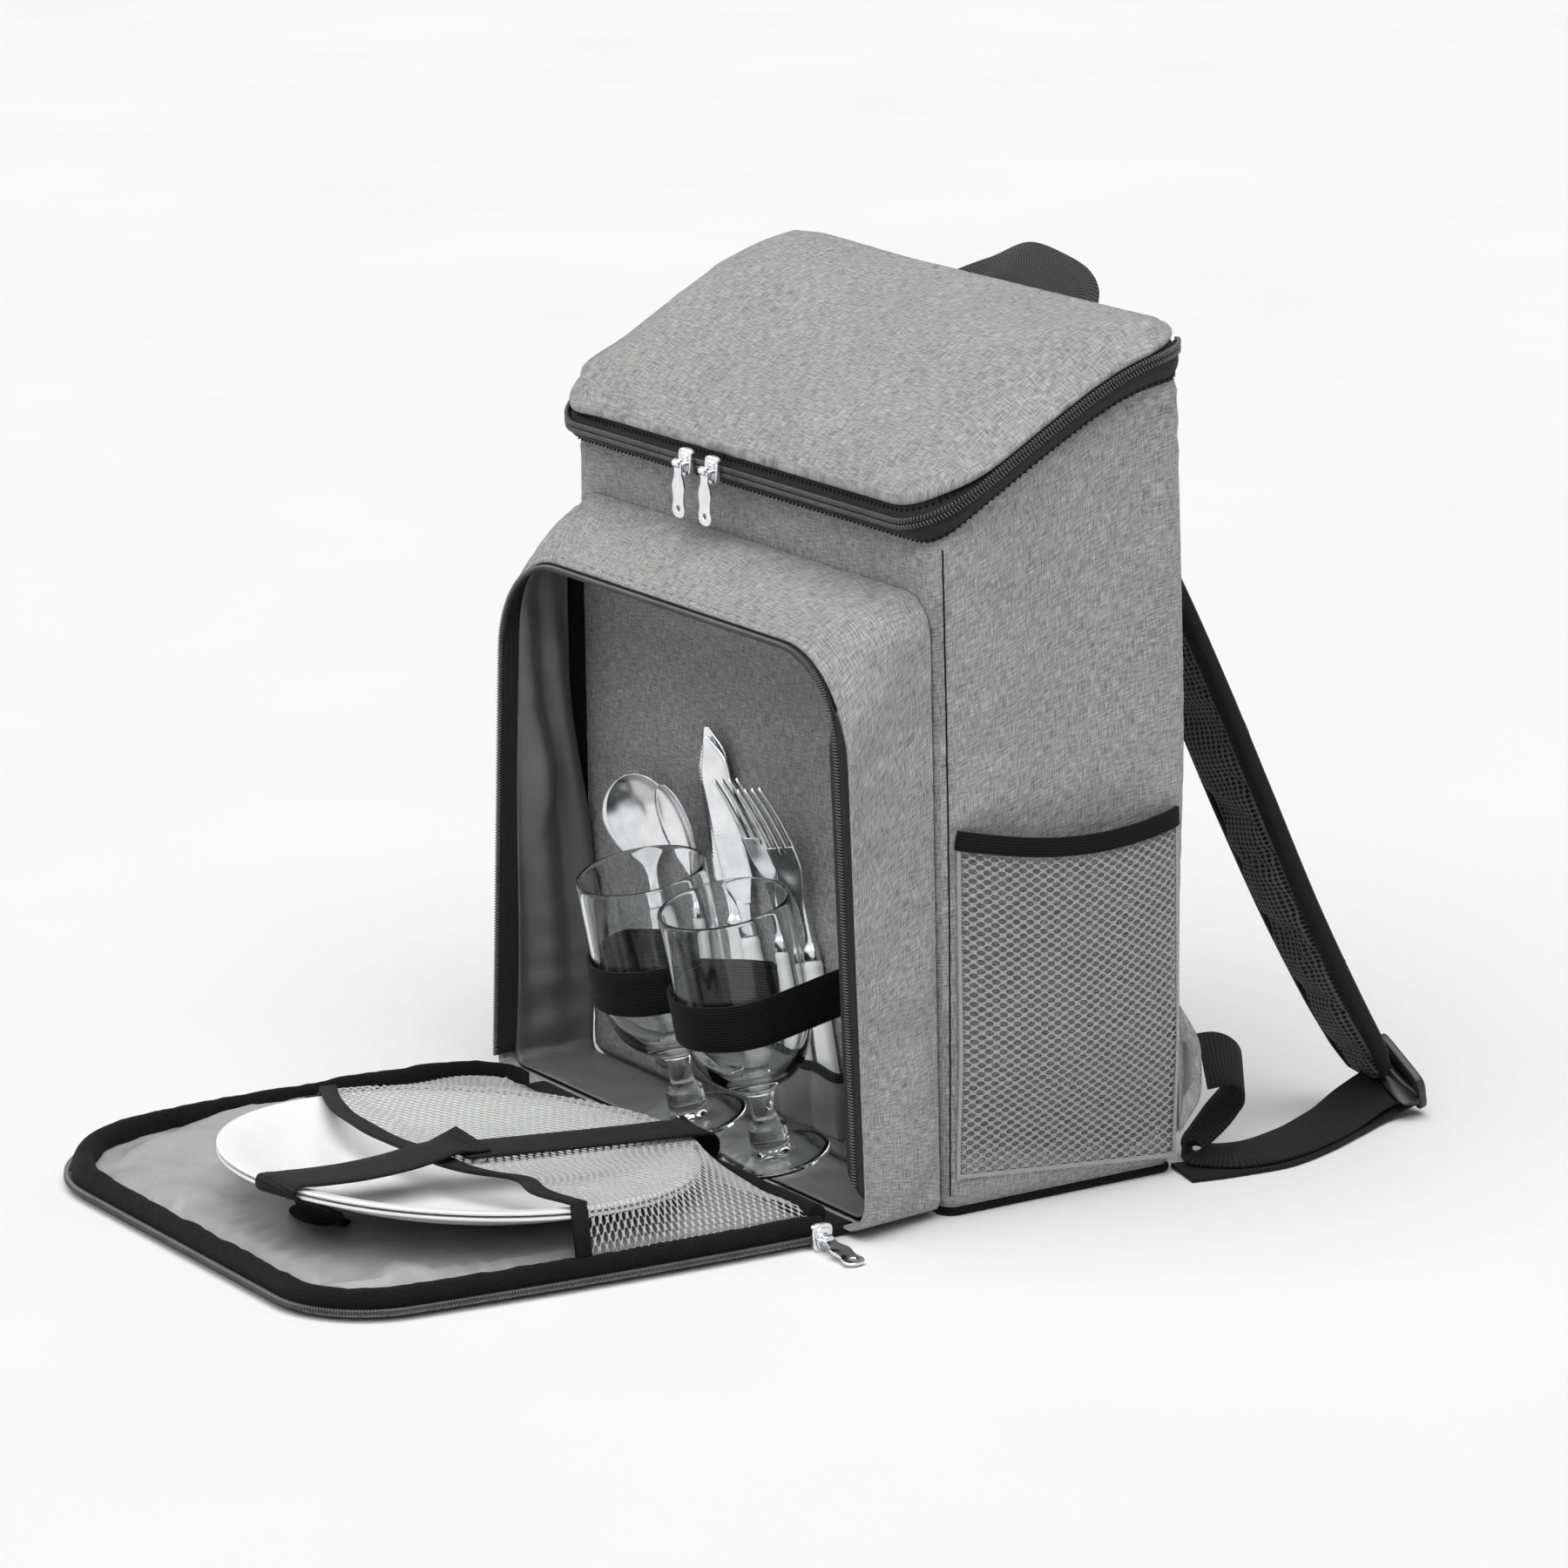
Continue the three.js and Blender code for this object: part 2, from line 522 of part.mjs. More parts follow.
function makeFlapNet() {
  const wide = NET_HALF;
  const near = FLAP.hinge - 1.2;
  const rows = 4;
  const columns = 16;
  // columns run from border to border, closer together over the plates
  const [overLeft, overRight] = [PLATE.x - NET_SHOULDER, PLATE.x + NET_SHOULDER];
  const over = Array.from({ length: columns - 2 }, (_, k) => lerp(overLeft, overRight, k / (columns - 3)));
  const xs = [-wide, (overLeft - wide) / 2, ...over, wide];
  const skin = (u, v, side) => {
    const x = xs[Math.round(u * columns)];
    const free = netFree(x);
    const rim = PLATE.y + Math.sqrt(Math.max(NET_SHOULDER ** 2 - (x - PLATE.x) ** 2, 0));
    const turn = clamp((near - rim) / (near - free), 0.012, 0.6);
    // shares of the way from the hinge to the free edge; the net turns over the rim at the second
    const shares = [0, turn, lerp(turn, 1, 0.1), lerp(turn, 1, 0.45), 1];
    const y = lerp(near, free, shares[Math.round(v * rows)]);
    return V(x, y, netHeight(x, y) + (1 - side) * SIDE_NET.thick);
  };
  add('flap_mesh', sheet(skin, columns, rows), NET);

  const stations = xs.map((x) => {
    const y = netFree(x) - 4.2;
    return { at: V(x, y, netHeight(x, y) + 0.7), across: V(0, 1, 0), width: 7.4, thick: 2 };
  });
  add('flap_mesh_binding', strap(stations), BLACK);
}

function makePlateStrap() {
  // The strap's lane over the plates swings a little to the right at its far end
  const lane = (y) => 46 + 9 * smoothstep(-250 - y, 0, 84);
  const across = V(1, 0, 0);
  const station = (y, z, x = lane(y)) => ({ at: V(x, y, z), across, width: WEBBING.width, thick: 1.5 });
  const far = PLATE.y - PLATE.radius;
  const near = PLATE.y + PLATE.radius;
  const over = (y, lift) => station(y, rimPlane(y) + lift);
  const farRows = [
    station(far + 34, 14, 24), station(far + 16, 15.6, 37), station(far - 2, 25, 52), over(far - 3, -5),
    over(far - 0.5, 3.4), over(far + 10, 3.6), over(-292, 3.4), over(-268, 6.6),
    over(-250, 8.8), over(-236, 8.8), over(-222, 9.2),
  ];
  add('plate_strap_far', strap(farRows), BLACK);
  const nearRows = [
    station(FLAP.hinge + 0.4, 7.4, 40), station(FLAP.hinge - 0.2, 14, 40),
    over(near + 6.2, 5), over(near - 1, 6.2),
    over(-152, 6.2), over(-182, 6.2), over(-217, 6.2), over(-242, 6.2),
  ];
  add('plate_strap_near', strap(nearRows), BLACK);

  const oval = new THREE.Shape().absellipse(0, 0, 22, 11, 0, 2 * Math.PI);
  const patch = new THREE.ExtrudeGeometry(oval, { depth: 0.8, bevelEnabled: false, curveSegments: 8 });
  add('strap_patch', weld(patch), BLACK).position.set(24, far + 36, 11.6);
}

function makeGlasses() {
  // rows: radius and height of a stemmed glass, outside up from the foot, then the bowl's inside
  const profile = [
    [0, 0], [25.5, 0], [25.6, 1.4], [15, 3], [7.2, 5.4], [8.7, 6.4], [8.4, 14.6], [5.8, 16],
    [5, 22], [5.6, 30], [18, 38.4], [24.4, 46], [27.6, 57], [29, 72], [28.9, 119], [27.4, 119],
    [27.4, 72], [25.8, 58], [22.4, 48.6], [15, 41], [0, 37.4],
  ];
  for (const [side, x] of Object.entries(GLASS.xs)) {
    const glass = add(`glass_${side}`, turned(profile, 14), CLEAR);
    glass.position.set(x, GLASS.y, GLASS.z);
    glass.rotation.x = degToRad(GLASS.lean);
  }
}

function makeGlassBands() {
  const lean = degToRad(GLASS.lean);
  const across = V(0, -Math.sin(lean), Math.cos(lean));
  const centre = across.clone().multiplyScalar(BAND.along).add(V(0, GLASS.y, GLASS.z));
  // where the band's two ends are sewn to the wall, left and right of each glass
  const ends = { left: [-43.5, 18.3], right: [24.6, 88] };
  for (const [side, [a, b]] of Object.entries(ends)) {
    const x = GLASS.xs[side];
    const arc = Array.from({ length: 13 }, (_, k) => {
      const angle = Math.PI * (1 + k / 12);
      return [x + BAND.radius * Math.cos(angle), centre.y + BAND.radius * Math.sin(angle)];
    });
    const path = [[a, BAND.wall], [a, -84], ...arc, [b, -84], [b, BAND.wall]];
    const stations = path.map(([px, py]) => ({
      at: V(px, py, centre.z + (py - centre.y) * Math.tan(lean)),
      across,
      width: BAND.height,
      thick: BAND.thick,
    }));
    add(`glass_band_${side}`, strap(stations), BLACK);
  }
}

// A utensil's head from rows of [along, half width, thickness, cup depth, forward bend]
function headGeometry(rows) {
  return loft(rows.map(([z, w, t, cup, bend]) => {
    const ring = [[-w, 0], [-w * 0.55, cup * 0.8], [w * 0.55, cup * 0.8], [w, 0]];
    const back = ring.map(([x, y]) => V(x, y + t / 2 - bend, z));
    const front = ring.map(([x, y]) => V(x, y - t / 2 - bend, z)).reverse();
    return [...back, ...front];
  }));
}

const COLLAR = [[GAP, 4.6, 6, 0, 0], [5, 4.6, 6, 0, 0], [6, 3, 3, 0, 0]];
const HEADS = {
  spoon: () => headGeometry([
    ...COLLAR, [14, 2.6, 1.8, 0, 1], [20, 3.4, 1.4, 0.6, 2.4], [26, 11, 1.2, 3, 4],
    [36, 16, 1.2, 4, 7], [48, 16.4, 1.2, 4, 10], [57, 11, 1.2, 2.4, 12], [61, 4, 1.2, 0.6, 13],
  ]),
  knife: () => headGeometry([
    ...COLLAR, [14, 3.6, 2, 0, 0], [24, 8.4, 1.4, 0, 0.5], [44, 9, 1.2, 0, 1],
    [68, 8.4, 1.2, 0, 1.6], [84, 5.4, 1.2, 0, 2], [91, 2, 1, 0, 2.2],
  ]),
  fork: () => {
    const palm = headGeometry([
      ...COLLAR, [20, 2.6, 1.8, 0, 1], [32, 5, 1.4, 0, 3], [40, 10.4, 1.3, 1, 5], [50, 11.2, 1.3, 1, 8],
    ]);
    const tines = [-9.4, -3.1, 3.1, 9.4].map((x) => strap([
      { at: V(x, -7, 47), across: V(1, 0, 0), width: 3.4, thick: 1.5 },
      { at: V(x, -16.5, 78), across: V(1, 0, 0), width: 1.8, thick: 1 },
    ]));
    return joined(palm, ...tines);
  },
};

function handleGeometry() {
  const long = CUTLERY.handle;
  // rows: share of the handle's length, half width and half thickness
  const rows = [[0, 4.6, 3], [0.06, 5, 3.4], [0.85, 6.3, 3.4], [0.97, 5.4, 2.6], [1, 3.4, 1.6]];
  return loft(rows.map(([s, w, t]) => {
    const ring = [[-1, 0], [-0.6, -0.9], [0.6, -0.9], [1, 0], [0.6, 0.9], [-0.6, 0.9]];
    return ring.map(([x, y]) => V(x * w, y * t, -s * long));
  }));
}

function makeCutlery() {
  // columns: name, head, collar's x, step forward, lean of the top to the left, turn about its own length
  const rows = [
    ['spoon_left', 'spoon', -72, 1.6, 19, 16],
    ['spoon_right', 'spoon', -36.8, 1.4, 9, -10],
    ['knife_left', 'knife', -9, 0, 12, 0],
    ['knife_right', 'knife', 6.5, 2.6, 20, 0],
    ['fork_left', 'fork', 33, 0.6, 13, -12],
    ['fork_right', 'fork', 54, 0.6, 14, -12],
  ];
  for (const [name, head, x, step, lean, turn] of rows) {
    const stand = new THREE.Group();
    stand.position.set(x, CUTLERY.y - step, CUTLERY.collar);
    stand.rotation.set(0, degToRad(-lean), degToRad(turn), 'YXZ');
    bag.add(stand);
    stand.add(add(`${name}_head`, HEADS[head](), STEEL));
    stand.add(add(`${name}_handle`, handleGeometry(), WHITE));
  }

  // The pleated pocket stands on the wall, a fold round each handle
  const [left, right, low, high] = [-74, 88, 20.5, 51];
  const front = CUTLERY.y - 6.2;
  const ring = (u, out) => {
    const x = lerp(left, right, u);
    const rim = Math.min(u, 1 - u) * 30;
    const pleat = 1.4 * Math.abs(Math.sin(u * Math.PI * 6));
    const y = lerp(BODY.front - GAP, front - pleat, smoothstep(rim, 0, 1));
    return [x + (u < 0.02 ? -out : u > 0.98 ? out : 0), y - out];
  };
  const skin = (u, v, side) => {
    const [x, y] = ring(u, (1 - side) * LINING.thick);
    return V(x, y, lerp(low, high, v));
  };
  add('cutlery_pocket', sheet(skin, 24, 1), SATIN);
}

function makeSideNets() {
  for (const [side, sign] of [['left', -1], ['right', 1]]) {
    const low = (u) => lerp(17, 7, u);
    const high = (u) => lerp(163, 157, u) - 6 * Math.sin(Math.PI * u);
    const out = (u, v) => BODY.half + 2 * BODY.bulge * smoothstep(v, 0, 0.4) * 0.5 + 0.8
      + SIDE_NET.bulge * Math.sin(Math.PI * u) ** 0.6 * smoothstep(v, 0, 0.45);
    const place = (u, v, extra) => {
      const y = lerp(SIDE_NET.front, SIDE_NET.back, u);
      return V(sign * (out(u, v) + extra), y, lerp(low(u), high(u), v));
    };
    const columns = 10;
    add(`side_mesh_${side}`, sheet((u, v, s) => place(u, v, (1 - s) * SIDE_NET.thick), columns, 4), NET);
    const stations = Array.from({ length: columns + 1 }, (_, k) => {
      const at = place(k / columns, 1, SIDE_NET.thick / 2);
      at.z += GAP + SIDE_NET.hem / 2;
      return { at, across: V(0, 0, 1), width: SIDE_NET.hem, thick: 2 };
    });
    add(`side_binding_${side}`, strap(stations), BLACK);
  }
}

// One shoulder strap in the right-hand place; sign -1 mirrors it to the left
function makeShoulderStrap(side, sign) {
  const P = (x, y, z) => V(sign * x, y, z);
  // columns: centre x, y, z, width, thickness; the pad springs off the back and splays outwards
  const padRows = [
    [46, 66.5, 322, 44, 4], [50, 74, 308, 50, 9], [58, 90, 275, 52, 11], [70, 106, 233, 52, 11],
    [82, 120, 190, 52, 11], [95, 135, 143, 52, 11], [108, 152, 94, 50, 11], [117, 170, 50, 44, 11],
    [121, 181, 31, 34, 9], [122, 185, 25, 26, 5],
  ];
  const lie = P(1, -0.12, 0.25);
  const pad = padRows.map(([x, y, z, width, thick]) => ({ at: P(x, y, z), across: lie, width, thick }));
  add(`shoulder_pad_${side}`, strap(smoothStations(pad, 12), PADDED), BLACK);

  // The buckle: a ladder frame that the webbing is threaded through
  const box = (x, low, high, r) =>
    roundedLoop([[-x, low, r], [-x, high, r], [x, high, r], [x, low, r]], STRAIGHT, 2);
  const frame = new THREE.Shape(box(17, -13, 13, 4));
  for (const z of [-6, 5.5]) frame.holes.push(new THREE.Path(box(13, z - 2.6, z + 2.6, 1).reverse()));
  const buckle = add(`buckle_${side}`, plateOf(frame, 4), PLASTIC);
  buckle.position.set(sign * 126, 195.6, 25);
  buckle.rotation.x = degToRad(38);

  // columns: centre x, y, z, then the direction of the webbing's width
  const webRows = [
    [151.4, 71.4, 47, 0, 0, 1], [153, 77, 47, 0.1, -0.05, 1], [156.5, 81.5, 41, 0.4, 0.2, 0.9],
    [159.5, 82, 30, 0.75, 0.4, 0.5], [160.5, 76.5, 20, 0.95, 0.2, 0.25], [160.5, 69.5, 13, 1, 0, 0.1],
    [160.5, 64.5, 8.4, 1, 0, 0], [161, 64, 5.8, 1, 0, 0], [162, 69, 3.8, 1, 0, 0], [163, 82, 3.2, 1, 0, 0],
    [162, 100, 3.2, 1, 0, 0], [155, 125, 3.3, 1, 0, 0], [144, 150, 4.6, 1, 0, 0],
    [133, 172, 10.5, 1, 0, 0], [125.5, 192.2, 19, 1, 0.1, 0],
  ];
  const web = webRows.map(([x, y, z, a, b, c]) => ({ at: P(x, y, z), across: P(a, b, c), ...WEBBING }));
  add(`strap_webbing_${side}`, strap(smoothStations(web, 26)), BLACK);

  // The webbing's free end comes back from the buckle and lies under the webbing on the floor
  const tailRows = [
    [160, 55, 1.05], [163, 70, 1.05], [163, 84, 1.05], [161.5, 102, 1.05], [154, 126, 1.05],
    [143, 150, 1.9], [132, 173, 5.2], [126, 195.8, 14.6],
  ];
  const tail = tailRows.map(([x, y, z]) => ({ at: P(x, y, z), across: P(1, 0, 0), ...WEBBING }));
  add(`strap_tail_${side}`, strap(smoothStations(tail, 12)), BLACK);

  // A cloth tab on the side seam holds the webbing's fixed end
  const corners = [[57.8, 18], [57.8, 78], [70, 58], [70, 32]];
  const outline = new THREE.Shape(corners.map(([y, z]) => new THREE.Vector2(y, z)));
  const tab = plateOf(outline, 2.4).rotateZ(Math.PI / 2);
  add(`strap_tab_${side}`, tab, MELANGE).position.set(sign * (BODY.half + 1.7), 0, 0);
}

function makeHandle() {
  // columns: x, y, z of the webbing's middle, then the direction of its width; the other half mirrors these
  const half = [
    [73, 65.3, 341, 0.3, 0, 1], [61, 68.6, 347, 0.3, 0.2, 1], [47, 77, 358, 0.1, 0.55, 0.85],
    [26, 85, 371, 0, 0.75, 0.65],
  ];
  const left = half.map(([x, y, z, a, b, c]) => [-x, y, z, -a, b, c]);
  const rows = [...left, [0, 88, 376, 0, 0.8, 0.6], ...half.reverse()];
  const stations = rows.map(([x, y, z, a, b, c]) => ({ at: V(x, y, z), across: V(a, b, c), ...HANDLE }));
  add('carry_handle', strap(smoothStations(stations, 18)), BLACK);
}

makeBody();
makeLid();
makeLidSliders();
makePocket();
makeFlap();
makeFlapPull();
makePlates();
makeFlapNet();
makePlateStrap();
makeGlasses();
makeGlassBands();
makeCutlery();
makeSideNets();
makeShoulderStrap('left', -1);
makeShoulderStrap('right', 1);
makeHandle();

export default bag;
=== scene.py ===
import math

import bmesh
import bpy
import numpy as np
from mathutils import Matrix, Vector, noise


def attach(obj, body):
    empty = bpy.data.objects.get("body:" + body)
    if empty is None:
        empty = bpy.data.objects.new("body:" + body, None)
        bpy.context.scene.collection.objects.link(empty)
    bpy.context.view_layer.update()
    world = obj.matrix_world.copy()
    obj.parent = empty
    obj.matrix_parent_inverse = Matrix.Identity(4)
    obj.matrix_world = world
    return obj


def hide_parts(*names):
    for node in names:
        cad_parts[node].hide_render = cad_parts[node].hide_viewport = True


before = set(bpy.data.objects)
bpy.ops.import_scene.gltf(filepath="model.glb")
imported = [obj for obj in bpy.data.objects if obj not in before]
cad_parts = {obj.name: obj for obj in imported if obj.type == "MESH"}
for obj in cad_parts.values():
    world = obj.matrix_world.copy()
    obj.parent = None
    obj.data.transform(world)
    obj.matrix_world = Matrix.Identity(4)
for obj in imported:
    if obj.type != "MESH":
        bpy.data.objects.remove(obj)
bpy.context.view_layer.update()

MM = 0.001

# Dimensions of the model in millimetres, as in the CAD source
GAP = 0.4
BODY = dict(half=149.5, front=-62.5, back=62.5, corner=10)
RIM = dict(front=303, start=-72, slope=0.578, back=366.5, ease=8)
TAPE = dict(below=15, above=4, bow=4.5, seat=0.72)
LID = dict(half=153, front=-69, back=64, corner=26)
POCKET = dict(joint=271, top=254, half=155, corner=45, mouth=-103, bottom=3, root_drop=2, drop=12.5,
              skew=4, lean=0.11)
# The flap has round far corners; near the hinge its left corner is round too
FLAP = dict(hinge=-117, far=-351, half=148, left=154, right=127, swell=0.026)
FLAP_ROUND = dict(near_left=40, left=64, right=42, near_right=4)
# The plates nest closer than their plain solids
PLATE = dict(x=29, y=-231, z=31, radius=103.5, tilt=5, stack=2.5)
GLASS = dict(y=-91.5, z=11.4, lean=11, left=-11, right=58)
CUTLERY = dict(y=-66, collar=94, handle=75)
WEB = 25
SLIDER_Y, CHAIN_Z = -73.65, 302.57
PULL_REACH = 6
# Zip teeth: their pitch, then the length, width and height of one tooth
LID_TEETH = (1.6, (2.3, 0.85, 2.0))
POCKET_TEETH = (1.3, (2.6, 0.8, 2.2))
# Elastic round a glass: height is measured up the glass, wall is where the ends are sewn
BAND = dict(width=21, thick=1.2, height=73, radius=30.2, wall=-64.9)
# Nets: their spread and length, then the half sizes of a cell and of its hole
FLAP_NET = (300.0, 130)
SIDE_NET = (122.0, 146.0)
CELL = (3.53, 2.07)
SIDE_HOLE, FLAP_HOLE = (2.3, 1.36), (2.5, 1.48)
THREAD = 0.55

# The camera fitted to the photo: degrees, lens in millimetres, metres
CAMERA_TURN = (58.11, 13.96, -1.01)
CAMERA_LENS = 158.25
CAMERA_AIM, CAMERA_AWAY = (0.02628, -0.0626, 0.16707), 3.0
# Lights: strengths, then the name, place, size and power of each soft box
SKY, FILL, KEY = 0.75, 0.45, 3.1
SOFT_BOXES = (("left_box", (-1.7, -1.5, 1.2), 1.7, 14), ("top_box", (0.1, -0.6, 2.3), 1.6, 13))


def lerp(a, b, t):
    return a + (b - a) * t


def smooth(v, low, high):
    t = np.clip((np.asarray(v, float) - low) / (high - low), 0, 1)
    return t * t * (3 - 2 * t)


def unit(v):
    v = np.asarray(v, float)
    return v / np.maximum(np.linalg.norm(v, axis=-1, keepdims=True), 1e-9)


def turns(count):
    """Angles of one full turn in equal steps."""
    return 2 * np.pi * np.arange(count) / count


def stood(points, matrix):
    """Points carried into place by a four by four matrix."""
    return points @ matrix[:3, :3].T + matrix[:3, 3]


def run_along(path):
    """Distance along a line at each of its points."""
    return np.concatenate([[0], np.cumsum(np.linalg.norm(np.diff(path, axis=0), axis=1))])


def fuzz(points, scale, seed=0):
    """Soft noise between -1 and 1 at each point, with scale in cycles per millimetre."""
    points = np.asarray(points, float)
    shift = Vector((seed * 17.3, seed * 5.1, seed * 9.7))
    flat = [noise.noise(Vector(p) * scale + shift) for p in points.reshape(-1, 3)]
    return np.array(flat).reshape(points.shape[:-1])


def chaikin(rows, times=2):
    """Rounds the corners of an open line and keeps its ends."""
    rows = np.asarray(rows, float)
    for _ in range(times):
        a, b = rows[:-1], rows[1:]
        cut = np.stack([0.75 * a + 0.25 * b, 0.25 * a + 0.75 * b], 1).reshape(-1, rows.shape[1])
        rows = np.concatenate([rows[:1], cut, rows[-1:]])
    return rows


def curve_through(rows, count):
    """Rows of x, y, z and further values, spread along a smooth curve through the points."""
    rows = np.asarray(rows, float)
    last = len(rows) - 1
    padded = np.concatenate([[2 * rows[0] - rows[1]], rows, [2 * rows[-1] - rows[-2]]])
    out = []
    for k in range(count + 1):
        place = k / count * last
        i = min(int(place), last - 1)
        f = place - i
        p = padded[i:i + 4, :3]
        gaps = np.maximum(np.linalg.norm(np.diff(p, axis=0), axis=1) ** 0.5, 1e-4)
        out_slope = (p[1] - p[0]) / gaps[0] - (p[2] - p[0]) / (gaps[0] + gaps[1]) + (p[2] - p[1]) / gaps[1]
        in_slope = (p[2] - p[1]) / gaps[1] - (p[3] - p[1]) / (gaps[1] + gaps[2]) + (p[3] - p[2]) / gaps[2]
        out_slope, in_slope = out_slope * gaps[1], in_slope * gaps[1]
        a = 2 * p[1] - 2 * p[2] + out_slope + in_slope
        b = -3 * p[1] + 3 * p[2] - 2 * out_slope - in_slope
        spot = ((a * f + b) * f + out_slope) * f + p[1]
        out.append(np.concatenate([spot, lerp(rows[i, 3:], rows[i + 1, 3:], f)]))
    return np.array(out)


def rounded_loop(corners, sides, arc):
    """A closed outline through four corners (u, v, radius): each arc, then the side that follows it."""
    spots = np.array([c[:2] for c in corners], float)
    arcs = []
    for i, (_, _, radius) in enumerate(corners):
        here = spots[i]
        before, after = unit(spots[i - 1] - here), unit(spots[(i + 1) % 4] - here)
        half = math.acos(before @ after) / 2
        centre = here + unit(before + after) * radius / math.sin(half)
        start = here + before * radius / math.tan(half) - centre
        turn = -np.sign(before[0] * after[1] - before[1] * after[0]) * (math.pi - 2 * half)
        angles = turn * np.arange(arc + 1) / arc
        cos, sin = np.cos(angles), np.sin(angles)
        arcs.append(centre + np.stack([start[0] * cos - start[1] * sin, start[0] * sin + start[1] * cos], -1))
    out = []
    for i in range(4):
        steps = np.arange(1, sides[i])[:, None] / sides[i]
        out += [arcs[i], lerp(arcs[i][-1], arcs[(i + 1) % 4][0], steps)]
    return np.concatenate(out)


def last_arc(sides, arc):
    """Where the last arc of a rounded outline starts."""
    return 3 * arc + sum(sides[:3])


def rim_height(y):
    climb = RIM["front"] + RIM["slope"] * np.maximum(np.asarray(y, float) - RIM["start"], 0)
    return RIM["back"] - RIM["ease"] * np.log(1 + np.exp((RIM["back"] - climb) / RIM["ease"]))


def plan(shape, inset, sides, arc):
    r = max(shape["corner"] - inset, 4)
    x, f, b = shape["half"] - inset, shape["front"] + inset, shape["back"] - inset
    return rounded_loop([(-x, b, r), (-x, f, r), (x, f, r), (x, b, r)], sides, arc)


POCKET_SIDES, POCKET_ARC = (50, 50, 50, 60), 14


def pocket_loop(y, inset):
    share = np.clip((y - BODY["front"]) / (POCKET["mouth"] - BODY["front"]), 0, 1.2)
    half = lerp(BODY["half"] - 3, POCKET["half"], share) - inset
    crown = lerp(POCKET["joint"], POCKET["top"], share ** 1.5) - inset
    r, foot = lerp(18, POCKET["corner"], share) - inset, lerp(6, 14, share)
    low, shoulder = POCKET["bottom"] + inset, half - lerp(POCKET["root_drop"], POCKET["drop"], share)
    corners = [(-half, low, 6), (-shoulder, crown, r), (shoulder, crown, r), (half, low, foot)]
    loop = rounded_loop(corners, POCKET_SIDES, POCKET_ARC)
    rise = loop[:, 1] / POCKET["top"]
    depth = (y - BODY["front"]) * (1 - POCKET["lean"] * rise)
    return np.stack([loop[:, 0] + POCKET["skew"] * share * (1 - rise), BODY["front"] + depth, loop[:, 1]], -1)


def pocket_zip(y, inset):
    """The pocket's edge from the end of its first arc to the start of its last."""
    return pocket_loop(y, inset)[POCKET_ARC:last_arc(POCKET_SIDES, POCKET_ARC) + 1]


FLAP_SIDES, FLAP_ARC = (60, 60, 60, 60), 16


def flap_loop(inset, z=0.0):
    h, near, far = FLAP["half"] - inset, FLAP["hinge"], FLAP["far"] + inset
    r = {corner: max(radius - inset, 4) for corner, radius in FLAP_ROUND.items()}
    corners = [(-h, near, r["near_left"]), (inset - FLAP["left"], far, r["left"]),
               (FLAP["right"] - inset, far, r["right"]), (h, near, r["near_right"])]
    loop = rounded_loop(corners, FLAP_SIDES, FLAP_ARC)
    loop[:, 0] *= 1 + FLAP["swell"] * np.sin(np.pi * np.clip((near - loop[:, 1]) / (near - far), 0, 1))
    return np.stack([loop[:, 0], loop[:, 1], np.full(len(loop), float(z))], -1)


def flap_zip(inset, z=0.0):
    """The flap's edge from its round corner at the hinge, round the far end, to the hinge on the right."""
    return flap_loop(inset, z)[:last_arc(FLAP_SIDES, FLAP_ARC) + 1]


def flap_bounds(y, inset):
    """The flap's left and right edges at y."""
    loop = flap_loop(inset)
    side = 2 * FLAP_ARC + FLAP_SIDES[0] + 1
    left, other = loop[:side][::-1], loop[side + FLAP_SIDES[1] - 1:][:side]
    return np.interp(y, left[:, 1], left[:, 0]), np.interp(y, other[:, 1], other[:, 0])


def rim_plane(y):
    return PLATE["z"] + (PLATE["y"] - y) * math.tan(math.radians(PLATE["tilt"]))


def spread(P, closed):
    """Cloth coordinates in millimetres along the columns and rows of a grid."""
    Q = np.concatenate([P, P[:, :1]], 1) if closed else P
    u = np.concatenate([[0], np.cumsum(np.linalg.norm(np.diff(Q, axis=1), axis=-1).mean(0))])
    v = np.concatenate([[0], np.cumsum(np.linalg.norm(np.diff(P, axis=0), axis=-1).mean(1))])
    return np.stack(np.meshgrid(u, v), -1)


